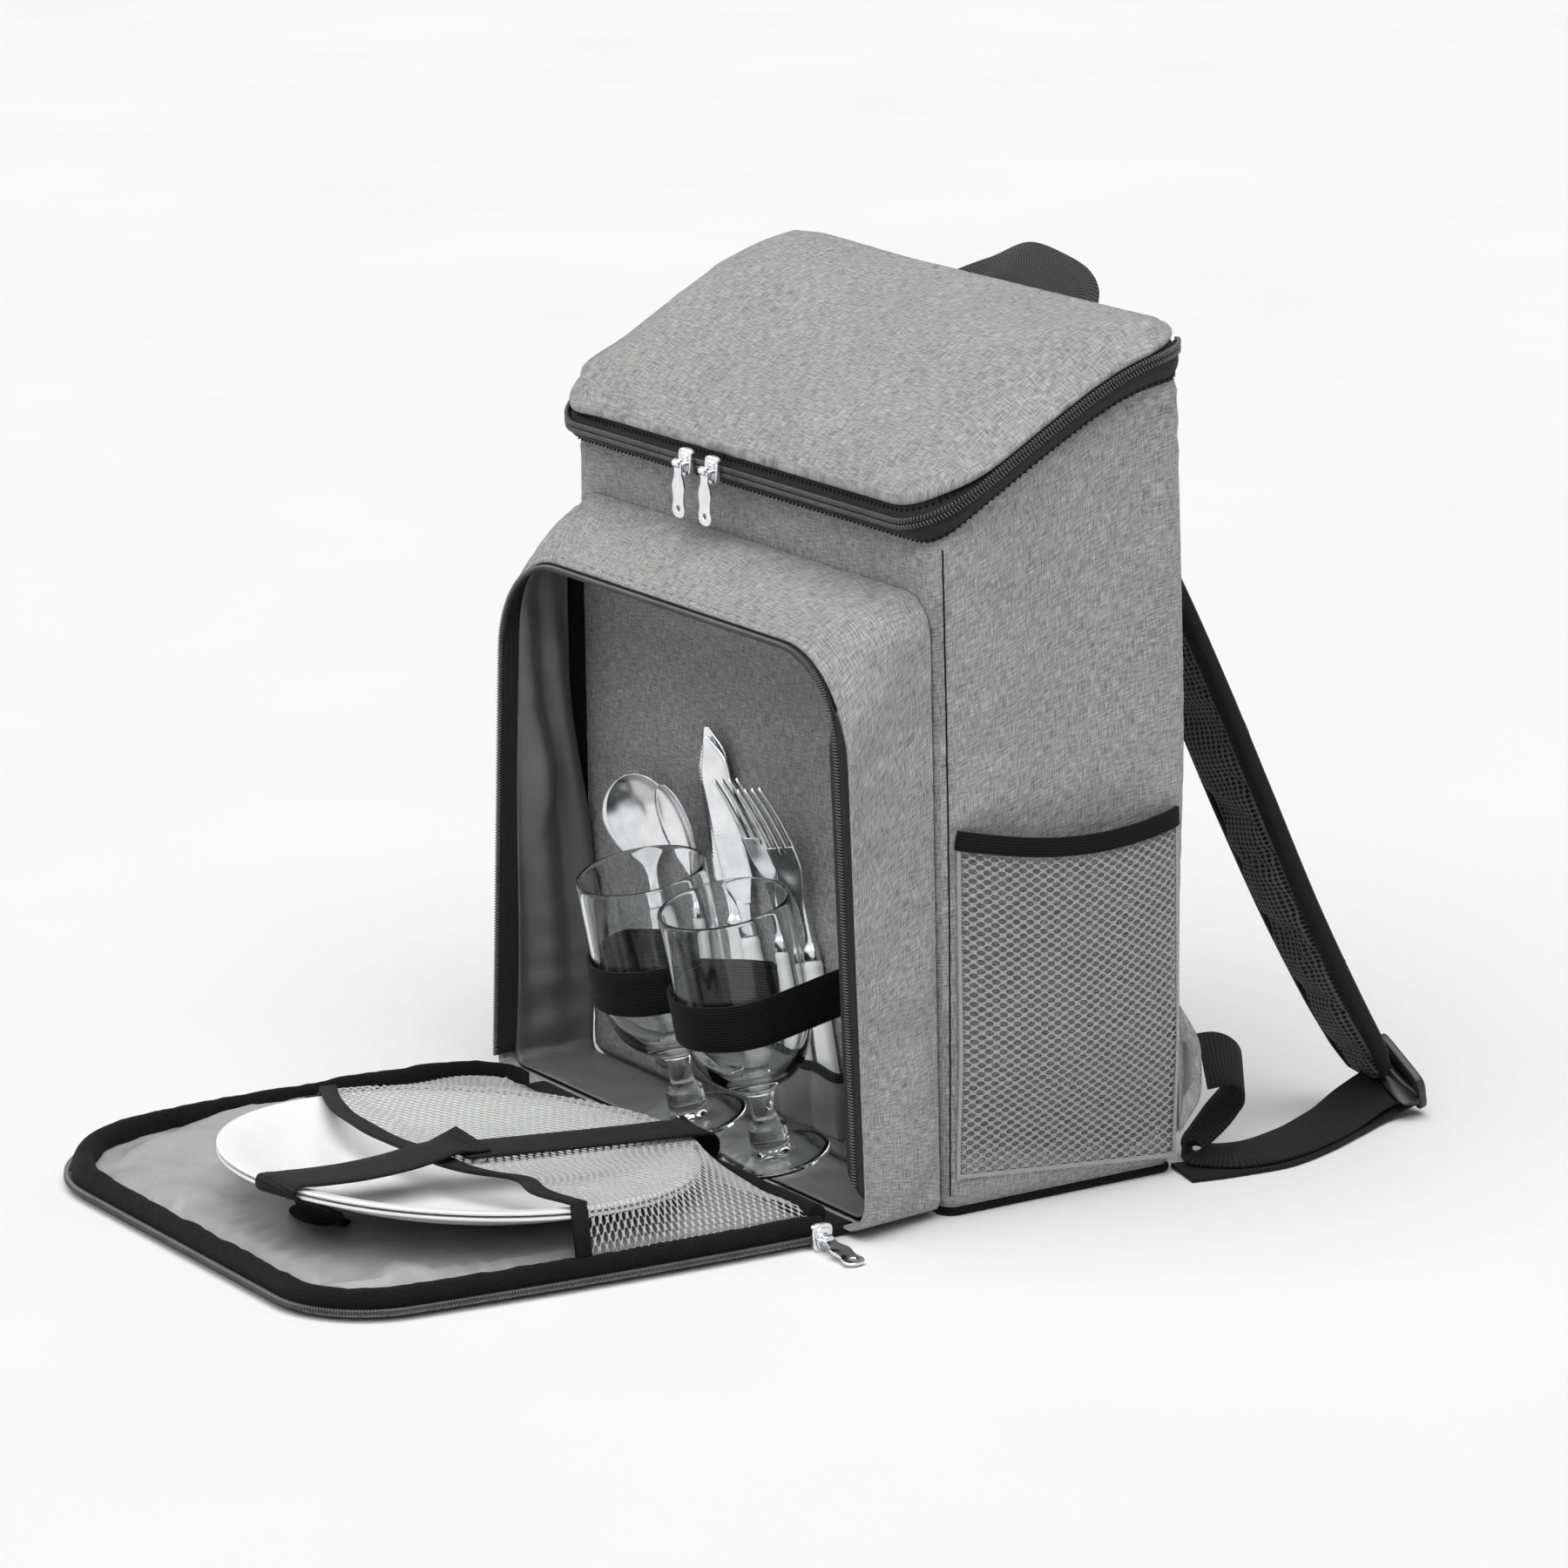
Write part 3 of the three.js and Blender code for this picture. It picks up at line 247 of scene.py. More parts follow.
class Shape:
    """Collects the faces of one piece, in millimetres, with cloth coordinates at each face corner."""

    def __init__(self):
        self.points, self.faces, self.uv, self.finish = [], [], [], []
        self.count = 0

    def add_points(self, points):
        start = self.count
        points = np.asarray(points, float).reshape(-1, 3)
        self.points.append(points)
        self.count += len(points)
        return start

    def add_faces(self, faces, uv, finish):
        self.faces += [tuple(int(i) for i in face) for face in faces]
        self.uv.append(np.asarray(uv, float).reshape(-1, 2))
        self.finish += [finish] * len(faces)

    def grid(self, P, closed=False, uv=None, finish=0, columns_finish=None):
        P = np.asarray(P, float)
        rows, cols = P.shape[:2]
        uv = spread(P, closed) if uv is None else np.asarray(uv, float)
        index = self.add_points(P) + np.arange(rows * cols).reshape(rows, cols)
        if closed:
            index = np.concatenate([index, index[:, :1]], 1)
        pick = [(slice(0, -1), slice(0, -1)), (slice(0, -1), slice(1, None)),
                (slice(1, None), slice(1, None)), (slice(1, None), slice(0, -1))]
        quads = np.stack([index[p] for p in pick], -1)
        corners = np.stack([uv[p] for p in pick], -2)
        before = len(self.finish)
        self.add_faces(quads.reshape(-1, 4), corners, finish)
        if columns_finish is not None:
            self.finish[before:] = list(np.tile(columns_finish, rows - 1))
        return index

    def cap_ends(self, index, finish=0):
        """Closes the first and the last ring of a round grid."""
        spots = np.concatenate(self.points)
        for ring in (index[0, :-1][::-1], index[-1, :-1]):
            self.add_faces([ring], spots[ring][:, :2], finish)

    def fan(self, ring, tip):
        hub = self.add_points([tip])
        ring = [int(i) for i in ring]
        faces = [(a, b, hub) for a, b in zip(ring, ring[1:] + ring[:1])]
        spots = np.concatenate(self.points)
        self.add_faces(faces, spots[np.array(faces)][..., :2], 0)

    def ribbon(self, at, across, width, thick, section, finish=0, columns_finish=None):
        """A strap along stations, its width along across; section holds shares of width and thickness."""
        at, across = np.asarray(at, float), np.asarray(across, float)
        n = len(at)
        across = np.broadcast_to(across, at.shape)
        width = np.broadcast_to(np.asarray(width, float), (n,))
        thick = np.broadcast_to(np.asarray(thick, float), (n,))
        along = unit(np.gradient(at, axis=0))
        side = unit(across - (across * along).sum(-1, keepdims=True) * along)
        up = np.cross(along, side)
        section = np.asarray(section, float)
        s, t = section[:, 0], section[:, 1]
        P = at[:, None] + side[:, None] * (width[:, None] * s)[..., None]
        P = P + up[:, None] * (thick[:, None] * t)[..., None]
        run = run_along(at)
        s2 = np.append(s, s[0])
        uv = np.stack([np.broadcast_to(run[:, None], (n, len(s2))), width[:, None] * s2], -1)
        self.cap_ends(self.grid(P, True, uv, finish, columns_finish), finish)
        return P

    def tube(self, path, radius, sides=6, finish=0):
        path = np.asarray(path, float)
        angle = turns(sides)
        section = np.stack([np.cos(angle), np.sin(angle)], -1)
        along = unit(np.gradient(path, axis=0))
        helper = np.where(np.abs(along[:, 2:3]) < 0.9, [[0, 0, 1.0]], [[1.0, 0, 0]])
        self.ribbon(path, helper, radius, radius, section, finish)

    def turned(self, profile, segments, matrix):
        """A body turned about Z from rows of radius and height; the first and last row lie on the axis."""
        profile = np.asarray(profile, float)
        angle = turns(segments)
        keep = profile[1:-1]
        P = np.stack([keep[:, :1] * np.cos(angle), keep[:, :1] * np.sin(angle),
                      np.broadcast_to(keep[:, 1:2], (len(keep), segments))], -1)
        index = self.grid(stood(P, matrix), True)
        for ring, row in ((index[0, :-1][::-1], profile[0]), (index[-1, :-1], profile[-1])):
            self.fan(ring, stood(np.array([0, 0, row[1]]), matrix))

    def copies(self, points, faces, origin, axes, finish=0):
        """Repeats a small solid: axes holds its local x, y and z directions at each origin."""
        points = np.asarray(points, float)
        many = origin[:, None] + np.einsum("pk,nkx->npx", points, axes)
        start = self.add_points(many)
        every = [[start + n * len(points) + i for i in face] for n in range(len(origin)) for face in faces]
        corners = np.concatenate([points[list(face)][:, :2] for face in faces])
        self.add_faces(every, np.tile(corners, (len(origin), 1)), finish)

    def solid(self, points, faces, matrix):
        flat = points[:, [0, 2]]
        corners = np.concatenate([flat[list(face)] for face in faces])
        start = self.add_points(stood(points, matrix))
        self.add_faces([[start + i for i in face] for face in faces], corners, 0)

    def closed(self, rings, matrix=None):
        """A skin over a row of closed rings, capped at both ends."""
        self.cap_ends(self.grid(rings if matrix is None else stood(rings, matrix), True))

    def merge(self, other, matrix):
        points = stood(np.concatenate(other.points), matrix)
        start = self.add_points(points)
        self.add_faces([[start + i for i in face] for face in other.faces], np.concatenate(other.uv), 0)

    def mirrored(self):
        twin = Shape()
        twin.points = [p * [-1, 1, 1] for p in self.points]
        twin.faces = [face[::-1] for face in self.faces]
        flat, start = np.concatenate(self.uv), 0
        turned = []
        for face in self.faces:
            turned.append(flat[start:start + len(face)][::-1])
            start += len(face)
        twin.uv, twin.finish, twin.count = turned, list(self.finish), self.count
        return twin

    def make(self, name, looks, node, slot, body="bag", thick=0, rounded=True):
        mesh = bpy.data.meshes.new(name)
        mesh.from_pydata((np.concatenate(self.points) * MM).tolist(), [], self.faces)
        layer = mesh.uv_layers.new(name="cloth")
        layer.data.foreach_set("uv", np.concatenate(self.uv).ravel())
        mesh.polygons.foreach_set("material_index", self.finish)
        mesh.polygons.foreach_set("use_smooth", [rounded] * len(self.faces))
        for look in looks if isinstance(looks, list) else [looks]:
            mesh.materials.append(look)
        turn_out(mesh)
        obj = bpy.data.objects.new(name, mesh)
        bpy.context.scene.collection.objects.link(obj)
        if thick:
            solidify = obj.modifiers.new("thickness", "SOLIDIFY")
            solidify.thickness = thick * MM
            solidify.offset = -1
        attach(obj, body)
        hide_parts(node)
        return obj


def skin(P, closed=False):
    """A piece that starts as a skin over a grid of points."""
    shape = Shape()
    shape.grid(P, closed)
    return shape


def capped(rings, matrix=None):
    """A piece that starts as a solid over a row of closed rings."""
    shape = Shape()
    shape.closed(rings, matrix)
    return shape


def strap(at, across, width, thick):
    """A piece that starts as a flat strap along a line."""
    shape = Shape()
    shape.ribbon(at, across, width, thick, STRAP)
    return shape


def turn_out(mesh):
    """Turns all faces of a mesh outwards."""
    work = bmesh.new()
    work.from_mesh(mesh)
    bmesh.ops.recalc_face_normals(work, faces=work.faces)
    work.to_mesh(mesh)
    work.free()


def puff(P, faces, hold, pressure=3.0, slack=0.015, cap=4.0, frames=20):
    """Lets a cloth skin swell under air pressure, sewn down where hold is 1, and returns its points."""
    P = np.asarray(P, float)
    mesh = bpy.data.meshes.new("swell")
    mesh.from_pydata((P.reshape(-1, 3) * MM).tolist(), [], [tuple(map(int, f)) for f in faces])
    turn_out(mesh)
    obj = bpy.data.objects.new("swell", mesh)
    bpy.context.scene.collection.objects.link(obj)
    group = obj.vertex_groups.new(name="hold")
    flat_hold = np.round(np.asarray(hold, float).ravel(), 2)
    for level in np.unique(flat_hold):
        group.add([int(i) for i in np.flatnonzero(flat_hold == level)], float(level), "REPLACE")
    cloth = obj.modifiers.new("cloth", "CLOTH")
    settings = cloth.settings
    settings.quality = 5
    settings.bending_stiffness = 2.0
    settings.use_pressure = True
    settings.uniform_pressure_force = pressure
    settings.shrink_min = -slack
    settings.vertex_group_mass = "hold"
    settings.effector_weights.gravity = 0
    cloth.collision_settings.use_collision = False
    cloth.point_cache.frame_start, cloth.point_cache.frame_end = 1, frames
    for f in range(1, frames + 1):
        bpy.context.scene.frame_set(f)
    shown = obj.evaluated_get(bpy.context.evaluated_depsgraph_get())
    moved = np.empty(len(mesh.vertices) * 3)
    shown.data.vertices.foreach_get("co", moved)
    bpy.data.objects.remove(obj)
    bpy.data.meshes.remove(mesh)
    bpy.context.scene.frame_set(1)
    move = np.nan_to_num(moved.reshape(-1, 3) / MM - P.reshape(-1, 3))
    length = np.maximum(np.linalg.norm(move, axis=1, keepdims=True), 1e-6)
    return P + (move * np.minimum(1, cap / length)).reshape(P.shape)


def grid_faces(rows, cols, closed=False):
    index = np.arange(rows * cols).reshape(rows, cols)
    if closed:
        index = np.concatenate([index, index[:, :1]], 1)
    return np.stack([index[:-1, :-1], index[:-1, 1:], index[1:, 1:], index[1:, :-1]], -1).reshape(-1, 4)


def flat_plate(outline, holes, thick, bevel):
    """A flat plate with holes and soft edges, in XZ with its thickness along Y; points and faces."""
    data = bpy.data.curves.new("outline", "CURVE")
    data.dimensions, data.fill_mode = "2D", "BOTH"
    data.extrude, data.bevel_depth, data.bevel_resolution = (thick / 2 - bevel) * MM, bevel * MM, 2
    for line in [outline, *holes]:
        spline = data.splines.new("POLY")
        spline.points.add(len(line) - 1)
        for point, (x, z) in zip(spline.points, line):
            point.co = (x * MM, z * MM, 0, 1)
        spline.use_cyclic_u = True
    obj = bpy.data.objects.new("outline", data)
    bpy.context.scene.collection.objects.link(obj)
    shown = obj.evaluated_get(bpy.context.evaluated_depsgraph_get())
    mesh = bpy.data.meshes.new_from_object(shown)
    work = bmesh.new()
    work.from_mesh(mesh)
    bmesh.ops.remove_doubles(work, verts=work.verts, dist=1e-6)
    points = np.array([v.co[:] for v in work.verts]) / MM
    faces = [[v.index for v in f.verts] for f in work.faces]
    work.free()
    bpy.data.objects.remove(obj)
    bpy.data.curves.remove(data)
    bpy.data.meshes.remove(mesh)
    return np.stack([points[:, 0], -points[:, 2], points[:, 1]], -1), faces


class Look:
    """A material of nodes round one Principled shader; cloth coordinates are in millimetres."""

    def __init__(self, name, **sockets):
        self.material = bpy.data.materials.new(name)
        self.material.use_nodes = True
        self.tree = self.material.node_tree
        self.shader = self.tree.nodes["Principled BSDF"]
        for key, value in sockets.items():
            self.shader.inputs[key.replace("_", " ")].default_value = value

    def node(self, kind, **settings):
        node = self.tree.nodes.new("ShaderNode" + kind)
        for key, value in settings.items():
            setattr(node, key, value)
        return node

    def put(self, socket, value):
        if isinstance(value, bpy.types.NodeSocket):
            self.tree.links.new(value, socket)
        else:
            socket.default_value = value

    def math(self, operation, a, b=0.0):
        node = self.node("Math", operation=operation)
        self.put(node.inputs[0], a)
        self.put(node.inputs[1], b)
        return node.outputs[0]

    def total(self, a, b, share):
        """a and a share of b."""
        return self.math("ADD", a, self.math("MULTIPLY", b, share))

    def cloth(self, along=1.0, across=1.0, shift=0.0):
        mapping = self.node("Mapping")
        self.put(mapping.inputs["Vector"], self.node("UVMap", uv_map="cloth").outputs[0])
        mapping.inputs["Scale"].default_value = (along, across, 1)
        mapping.inputs["Location"].default_value = (shift, shift * 0.7, 0)
        return mapping.outputs[0]

    def spot(self, scale):
        mapping = self.node("Mapping")
        self.put(mapping.inputs["Vector"], self.node("TexCoord").outputs["Object"])
        mapping.inputs["Scale"].default_value = (scale / MM,) * 3
        return mapping.outputs[0]

    def split(self, vector):
        node = self.node("SeparateXYZ")
        self.put(node.inputs[0], vector)
        return node.outputs[0], node.outputs[1]

    def noise(self, vector, detail=2.0, rough=0.5):
        node = self.node("TexNoise")
        self.put(node.inputs["Vector"], vector)
        node.inputs["Scale"].default_value = 1
        node.inputs["Detail"].default_value = detail
        node.inputs["Roughness"].default_value = rough
        return node.outputs[0]

    def ramp(self, fac, stops):
        node = self.node("ValToRGB")
        self.put(node.inputs[0], fac)
        elements = node.color_ramp.elements
        while len(elements) < len(stops):
            elements.new(0.5)
        for element, (place, value) in zip(elements, stops):
            element.position = place
            shade = value if hasattr(value, "__len__") else (value, value, value)
            element.color = (*shade, 1)
        return node.outputs[0]

    def scale(self, fac, low, high):
        node = self.node("MapRange")
        self.put(node.inputs[0], fac)
        node.inputs[3].default_value, node.inputs[4].default_value = low, high
        return node.outputs[0]

    def bump(self, height, distance, strength=1.0):
        node = self.node("Bump")
        self.put(node.inputs["Height"], height)
        node.inputs["Distance"].default_value = distance * MM
        node.inputs["Strength"].default_value = strength
        self.tree.links.new(node.outputs[0], self.shader.inputs["Normal"])

    def paint(self, colour, socket="Base Color"):
        self.tree.links.new(colour, self.shader.inputs[socket])

    def wave(self, value, pitch):
        """A sine ridge from 0 to 1 with the given pitch in millimetres."""
        turn = self.math("MULTIPLY", value, 2 * math.pi / pitch)
        return self.math("MULTIPLY_ADD", self.math("SINE", turn), 0.5)


def melange(name, dark, mid, light):
    """Heather polyester: dark and light yarns streak both ways of a plain weave."""
    look = Look(name, Roughness=0.88, Sheen_Weight=0.12, Sheen_Roughness=0.5, Specular_IOR_Level=0.2)
    warp = look.noise(look.cloth(0.16, 1.5), 3, 0.6)
    weft = look.noise(look.cloth(1.5, 0.16, 31), 3, 0.6)
    patch = look.noise(look.cloth(0.03, 0.03, 7), 2)
    yarn = look.total(look.math("MULTIPLY", warp, 0.5), weft, 0.5)
    tone = look.total(yarn, look.math("SUBTRACT", patch, 0.5), 0.06)
    look.paint(look.ramp(tone, [(0.37, dark), (0.5, mid), (0.63, light)]))
    u, v = look.split(look.cloth())
    weave = look.math("MULTIPLY", look.wave(u, 0.9), look.wave(v, 0.9))
    look.bump(look.total(weave, yarn, 1.4), 0.16)
    return look.material


def satin(name, low, high):
    """Plain satin lining with a soft gloss and a hint of its twill."""
    look = Look(name, Specular_IOR_Level=0.6, Sheen_Weight=0.12, Sheen_Roughness=0.35)
    cloud = look.noise(look.spot(0.05), 3)
    look.paint(look.ramp(cloud, [(0.3, low), (0.7, high)]))
    look.paint(look.scale(look.noise(look.spot(0.4), 2), 0.28, 0.42), "Roughness")
    u, v = look.split(look.cloth())
    twill = look.wave(look.math("ADD", u, v), 0.7)
    crease = look.noise(look.spot(0.09), 4, 0.6)
    look.bump(look.total(crease, twill, 0.08), 0.9, 0.55)
    return look.material


def webbing(name, rib, herring, low, high):
    """Woven strap: ribs across its length, broken into a herringbone if asked."""
    look = Look(name, Roughness=0.7, Specular_IOR_Level=0.14, Sheen_Weight=0.03, Sheen_Roughness=0.4)
    u, v = look.split(look.cloth())
    chevron = look.math("PINGPONG", v, herring) if herring else 0.0
    ridge = look.wave(look.math("ADD", u, chevron), rib)
    thread = look.noise(look.cloth(1.1, 3.0), 2)
    height = look.total(look.math("MULTIPLY", ridge, 0.8), thread, 0.5)
    # Painted shade: the grooves between the ribs are coloured darker than the ribs; the thread noise is the
    # yarn's own tone
    look.paint(look.ramp(height, [(0.15, low), (1.0, high)]))
    look.bump(height, 0.35)
    return look.material


def lengthwise(name, rib, low, high):
    """Elastic: ridges along its length."""
    look = Look(name, Roughness=0.72, Specular_IOR_Level=0.1, Sheen_Weight=0.02, Sheen_Roughness=0.4)
    v = look.split(look.cloth())[1]
    thread = look.noise(look.cloth(1.6, 1.6), 2)
    height = look.total(look.wave(v, rib), thread, 0.5)
    # Painted shade: the grooves between the ridges are coloured darker than the ridges; the thread noise is
    # the yarn's own tone
    look.paint(look.ramp(height, [(0.2, low), (1.2, high)]))
    look.bump(height, 0.3)
    return look.material


def brushed_tape(name, low, high):
    """Soft bound edge: short loose fibres over a tape."""
    look = Look(name, Roughness=0.9, Specular_IOR_Level=0.1, Sheen_Weight=0.04, Sheen_Roughness=0.5)
    fibre = look.noise(look.spot(1.3), 4, 0.7)
    lump = look.noise(look.spot(0.2), 3)
    look.paint(look.ramp(fibre, [(0.35, low), (0.75, high)]))
    look.bump(look.total(fibre, lump, 1.5), 0.6)
    return look.material


def spacer_mesh(name):
    """Knitted air mesh: staggered rows of small oval holes."""
    look = Look(name, Roughness=0.75, Specular_IOR_Level=0.12, Sheen_Weight=0.03, Sheen_Roughness=0.4)
    u, v = look.split(look.cloth())
    row = look.math("FLOOR", look.math("DIVIDE", u, 4.4))
    shift = look.math("MULTIPLY", look.math("MODULO", row, 2.0), 3.5)
    across = look.math("SUBTRACT", look.math("PINGPONG", look.math("ADD", v, shift), 3.5), 1.75)
    along = look.math("SUBTRACT", look.math("PINGPONG", u, 2.2), 1.1)
    reach = look.math("ADD", look.math("POWER", look.math("DIVIDE", across, 1.6), 2.0),
                      look.math("POWER", look.math("DIVIDE", along, 1.05), 2.0))
    height = look.math("MINIMUM", reach, 1.0)
    thread = look.noise(look.spot(1.6), 2)
    shade = look.math("MULTIPLY", height, look.scale(thread, 0.5, 1.2))
    # Painted shade in the holes: they are coloured near black, and the threads round them grey
    look.paint(look.ramp(shade, [(0.2, 0.003), (0.9, 0.16)]))
    look.bump(height, 0.5)
    return look.material


def metal(name, colour, rough, brushed):
    look = Look(name, Metallic=1.0, Base_Color=(*colour, 1))
    grain = look.noise(look.spot(brushed), 3)
    look.paint(look.scale(grain, rough * 0.6, rough * 1.5), "Roughness")
    shade = [tuple(c * k for c in colour) for k in (0.88, 1.0)]
    look.paint(look.ramp(look.noise(look.spot(0.15), 3), [(0.35, shade[0]), (0.65, shade[1])]))
    look.bump(grain, 0.02, 0.4)
    return look.material


def moulded(name, low, high, rough, grain_size, grain_depth, gloss=0.5):
    look = Look(name, Specular_IOR_Level=gloss)
    cloud = look.noise(look.spot(0.06), 2)
    grain = look.noise(look.spot(grain_size), 3)
    look.paint(look.ramp(cloud, [(0.3, low), (0.7, high)]))
    look.paint(look.scale(grain, rough * 0.85, rough * 1.15), "Roughness")
    look.bump(grain, grain_depth)
    return look.material


def clear(name):
    look = Look(name, Transmission_Weight=1.0, IOR=1.33, Base_Color=(0.985, 0.99, 0.99, 1))
    haze = look.noise(look.spot(0.12), 3)
    look.paint(look.scale(haze, 0.0, 0.05), "Roughness")
    look.bump(look.noise(look.spot(0.05), 2), 0.12, 0.4)
    return look.material


MELANGE = melange("grey_melange", 0.17, 0.36, 0.58)
# Painted shade: a darker copy of the grey melange, for the cloth inside the pocket and under the side nets
MELANGE_PAINTED_SHADE = melange("grey_melange_painted_shade", 0.14, 0.30, 0.49)
# Painted shade: one satin in three tones; the linings in the pocket and round the bag's inner rim take a
# darker copy, the cutlery pocket a darker one still, and the flap's lining has the satin's own lighter tone
SATIN_PAINTED_SHADE = satin("grey_satin_painted_shade", 0.11, 0.155)
SATIN_LIGHT = satin("light_satin", 0.31, 0.39)
SATIN_DEEPER_PAINTED_SHADE = satin("shaded_satin", 0.085, 0.125)
HERRINGBONE = webbing("herringbone_webbing", 1.9, 3.2, 0.008, 0.075)
RIBBED = webbing("ribbed_webbing", 1.7, 0.0, 0.004, 0.018)
GROSGRAIN = webbing("grosgrain", 1.0, 0.0, 0.005, 0.018)
TAPE_LOOK = webbing("zip_tape", 0.9, 1.4, 0.014, 0.05)
ELASTIC = lengthwise("ribbed_elastic", 1.25, 0.002, 0.012)
BINDING = brushed_tape("soft_binding", 0.003, 0.016)
AIR_MESH = spacer_mesh("air_mesh")
NET = brushed_tape("net_yarn", 0.38, 0.6)
# Painted light: the net over the flap takes a lighter copy of the side nets' yarn
NET_PAINTED_LIGHT = brushed_tape("net_yarn_painted_light", 0.6, 0.8)
# Painted highlight, in part: the teeth are grey, lighter than the black tape, so that each reads as a bright
# dot; their gloss adds real highlights too
COIL_WITH_PAINTED_HIGHLIGHT = moulded("coil_teeth_with_painted_highlight", 0.06, 0.1, 0.24, 0.8, 0.05)
BLACK_PLASTIC = moulded("black_plastic", 0.012, 0.02, 0.42, 1.5, 0.05)
WHITE_PLASTIC = moulded("white_plastic", 0.94, 0.96, 0.25, 0.4, 0.004, 0.35)
CHROME = metal("chrome", (0.86, 0.86, 0.87), 0.1, 0.6)
STEEL = metal("steel", (0.86, 0.86, 0.87), 0.17, 0.9)
CLEAR = clear("clear_plastic")

# Sections of straps, as shares of width and thickness
STRAP = [(-0.5, -0.25), (-0.485, -0.5), (-0.25, -0.52), (0, -0.52), (0.25, -0.52), (0.485, -0.5),
         (0.5, -0.25), (0.5, 0.25), (0.485, 0.5), (0.25, 0.52), (0, 0.52), (-0.25, 0.52), (-0.485, 0.5),
         (-0.5, 0.25)]

# A zip tooth: a short bar with rounded ends, long along X, standing along Z
TOOTH = [(-0.5, 0.3), (-0.35, 0.5), (0.35, 0.5), (0.5, 0.3),
         (0.5, -0.3), (0.35, -0.5), (-0.35, -0.5), (-0.5, -0.3)]
TOOTH_FACES = [tuple(range(8)), tuple(range(15, 7, -1))]
TOOTH_FACES += [(i, 8 + i, 8 + (i + 1) % 8, (i + 1) % 8) for i in range(8)]


def tooth(long, wide, high):
    low = [(x * long, y * wide, -0.5 * high) for x, y in TOOTH]
    top = [(x * long * 0.86, y * wide * 0.7, 0.5 * high) for x, y in TOOTH]
    return low + top


def evenly(path, step):
    """Points and directions at equal steps along a line."""
    path = np.asarray(path, float)
    run = run_along(path)
    marks = np.arange(step / 2, run[-1], step)
    spots = np.stack([np.interp(marks, run, path[:, k]) for k in range(3)], -1)
    return spots, unit(np.gradient(spots, axis=0))


def teeth(shape, path, out, pitch, size, slant=0.25, finish=0):
    """A row of zip teeth along a path, standing along out and leaning by slant."""
    path = np.asarray(path, float)
    spots, along = evenly(path, pitch)
    out = np.asarray(out, float)
    if out.ndim == 2:
        run = np.linspace(0, 1, len(path))
        marks = np.linspace(0, 1, len(spots))
        out = np.stack([np.interp(marks, run, out[:, k]) for k in range(3)], -1)
    out = np.broadcast_to(out, spots.shape)
    out = unit(out - (out * along).sum(-1, keepdims=True) * along)
    across = np.cross(out, along)
    long = unit(across + slant * along)
    axes = np.stack([long, np.cross(out, long), out], 1)
    shape.copies(tooth(*size), TOOTH_FACES, spots, axes, finish)


def stitches(shape, path, out, pitch=3.0, finish=0):
    """A sewn line: short rounded threads lying on the cloth."""
    teeth(shape, path, out, pitch, (0.45, pitch * 0.72, 0.4), 0.0, finish)


# Camera and floor come first
AZ, EL, ROLL = (math.radians(a) for a in CAMERA_TURN)
back = Vector((math.sin(AZ) * math.cos(EL), -math.cos(AZ) * math.cos(EL), math.sin(EL)))
level = Vector((math.cos(AZ), math.sin(AZ), 0))
above = back.cross(level)
right = math.cos(ROLL) * level + math.sin(ROLL) * above
up = -math.sin(ROLL) * level + math.cos(ROLL) * above
camera_data = bpy.data.cameras.new("camera")
camera_data.lens, camera_data.clip_end = CAMERA_LENS, 100
camera = bpy.data.objects.new("camera", camera_data)
bpy.context.scene.collection.objects.link(camera)
stand = Matrix((right, up, back)).transposed().to_4x4()
stand.translation = Vector(CAMERA_AIM) + CAMERA_AWAY * back
camera.matrix_world = stand
bpy.context.scene.camera = camera


def studio():
    floor_mesh = bpy.data.meshes.new("floor")
    reach = 40
    floor_mesh.from_pydata([(-reach, -reach, 0), (reach, -reach, 0), (reach, reach, 0), (-reach, reach, 0)],
                           [], [(0, 1, 2, 3)])
    look = Look("pale_floor", Roughness=0.8, Specular_IOR_Level=0.1)
    look.paint(look.ramp(look.noise(look.spot(0.004), 2), [(0.3, 0.86), (0.7, 0.88)]))
    floor_mesh.materials.append(look.material)
    floor = bpy.data.objects.new("floor", floor_mesh)
    floor.location.z = -0.0004
    bpy.context.scene.collection.objects.link(floor)
    world = bpy.data.worlds.new("studio")
    world.use_nodes = True
    world.node_tree.nodes["Background"].inputs[0].default_value = (1, 1, 1, 1)
    world.node_tree.nodes["Background"].inputs[1].default_value = SKY
    bpy.context.scene.world = world
    world.cycles_visibility.diffuse = False
    fill = bpy.data.lights.new("fill", "SUN")
    fill.energy, fill.angle = FILL, math.radians(179)
    lamp = bpy.data.objects.new("fill", fill)
    lamp.visible_glossy = False
    bpy.context.scene.collection.objects.link(lamp)
    key = bpy.data.lights.new("key", "SUN")
    key.energy, key.angle = KEY, math.radians(75)
    lamp = bpy.data.objects.new("key", key)
    lamp.rotation_euler = Vector((0.2, -0.2, 0.96)).to_track_quat("Z", "Y").to_euler()
    bpy.context.scene.collection.objects.link(lamp)
    # Soft boxes that show only as gloss on metal, plastic and satin
    for name, spot, size, power in SOFT_BOXES:
        box = bpy.data.lights.new(name, "AREA")
        box.size, box.energy = size, power
        lamp = bpy.data.objects.new(name, box)
        lamp.location = spot
        lamp.rotation_euler = (Vector(spot) - Vector((0, -0.1, 0.15))).to_track_quat("Z", "Y").to_euler()
        lamp.visible_diffuse = False
        bpy.context.scene.collection.objects.link(lamp)
    bpy.context.scene.view_settings.view_transform = "Standard"


studio()


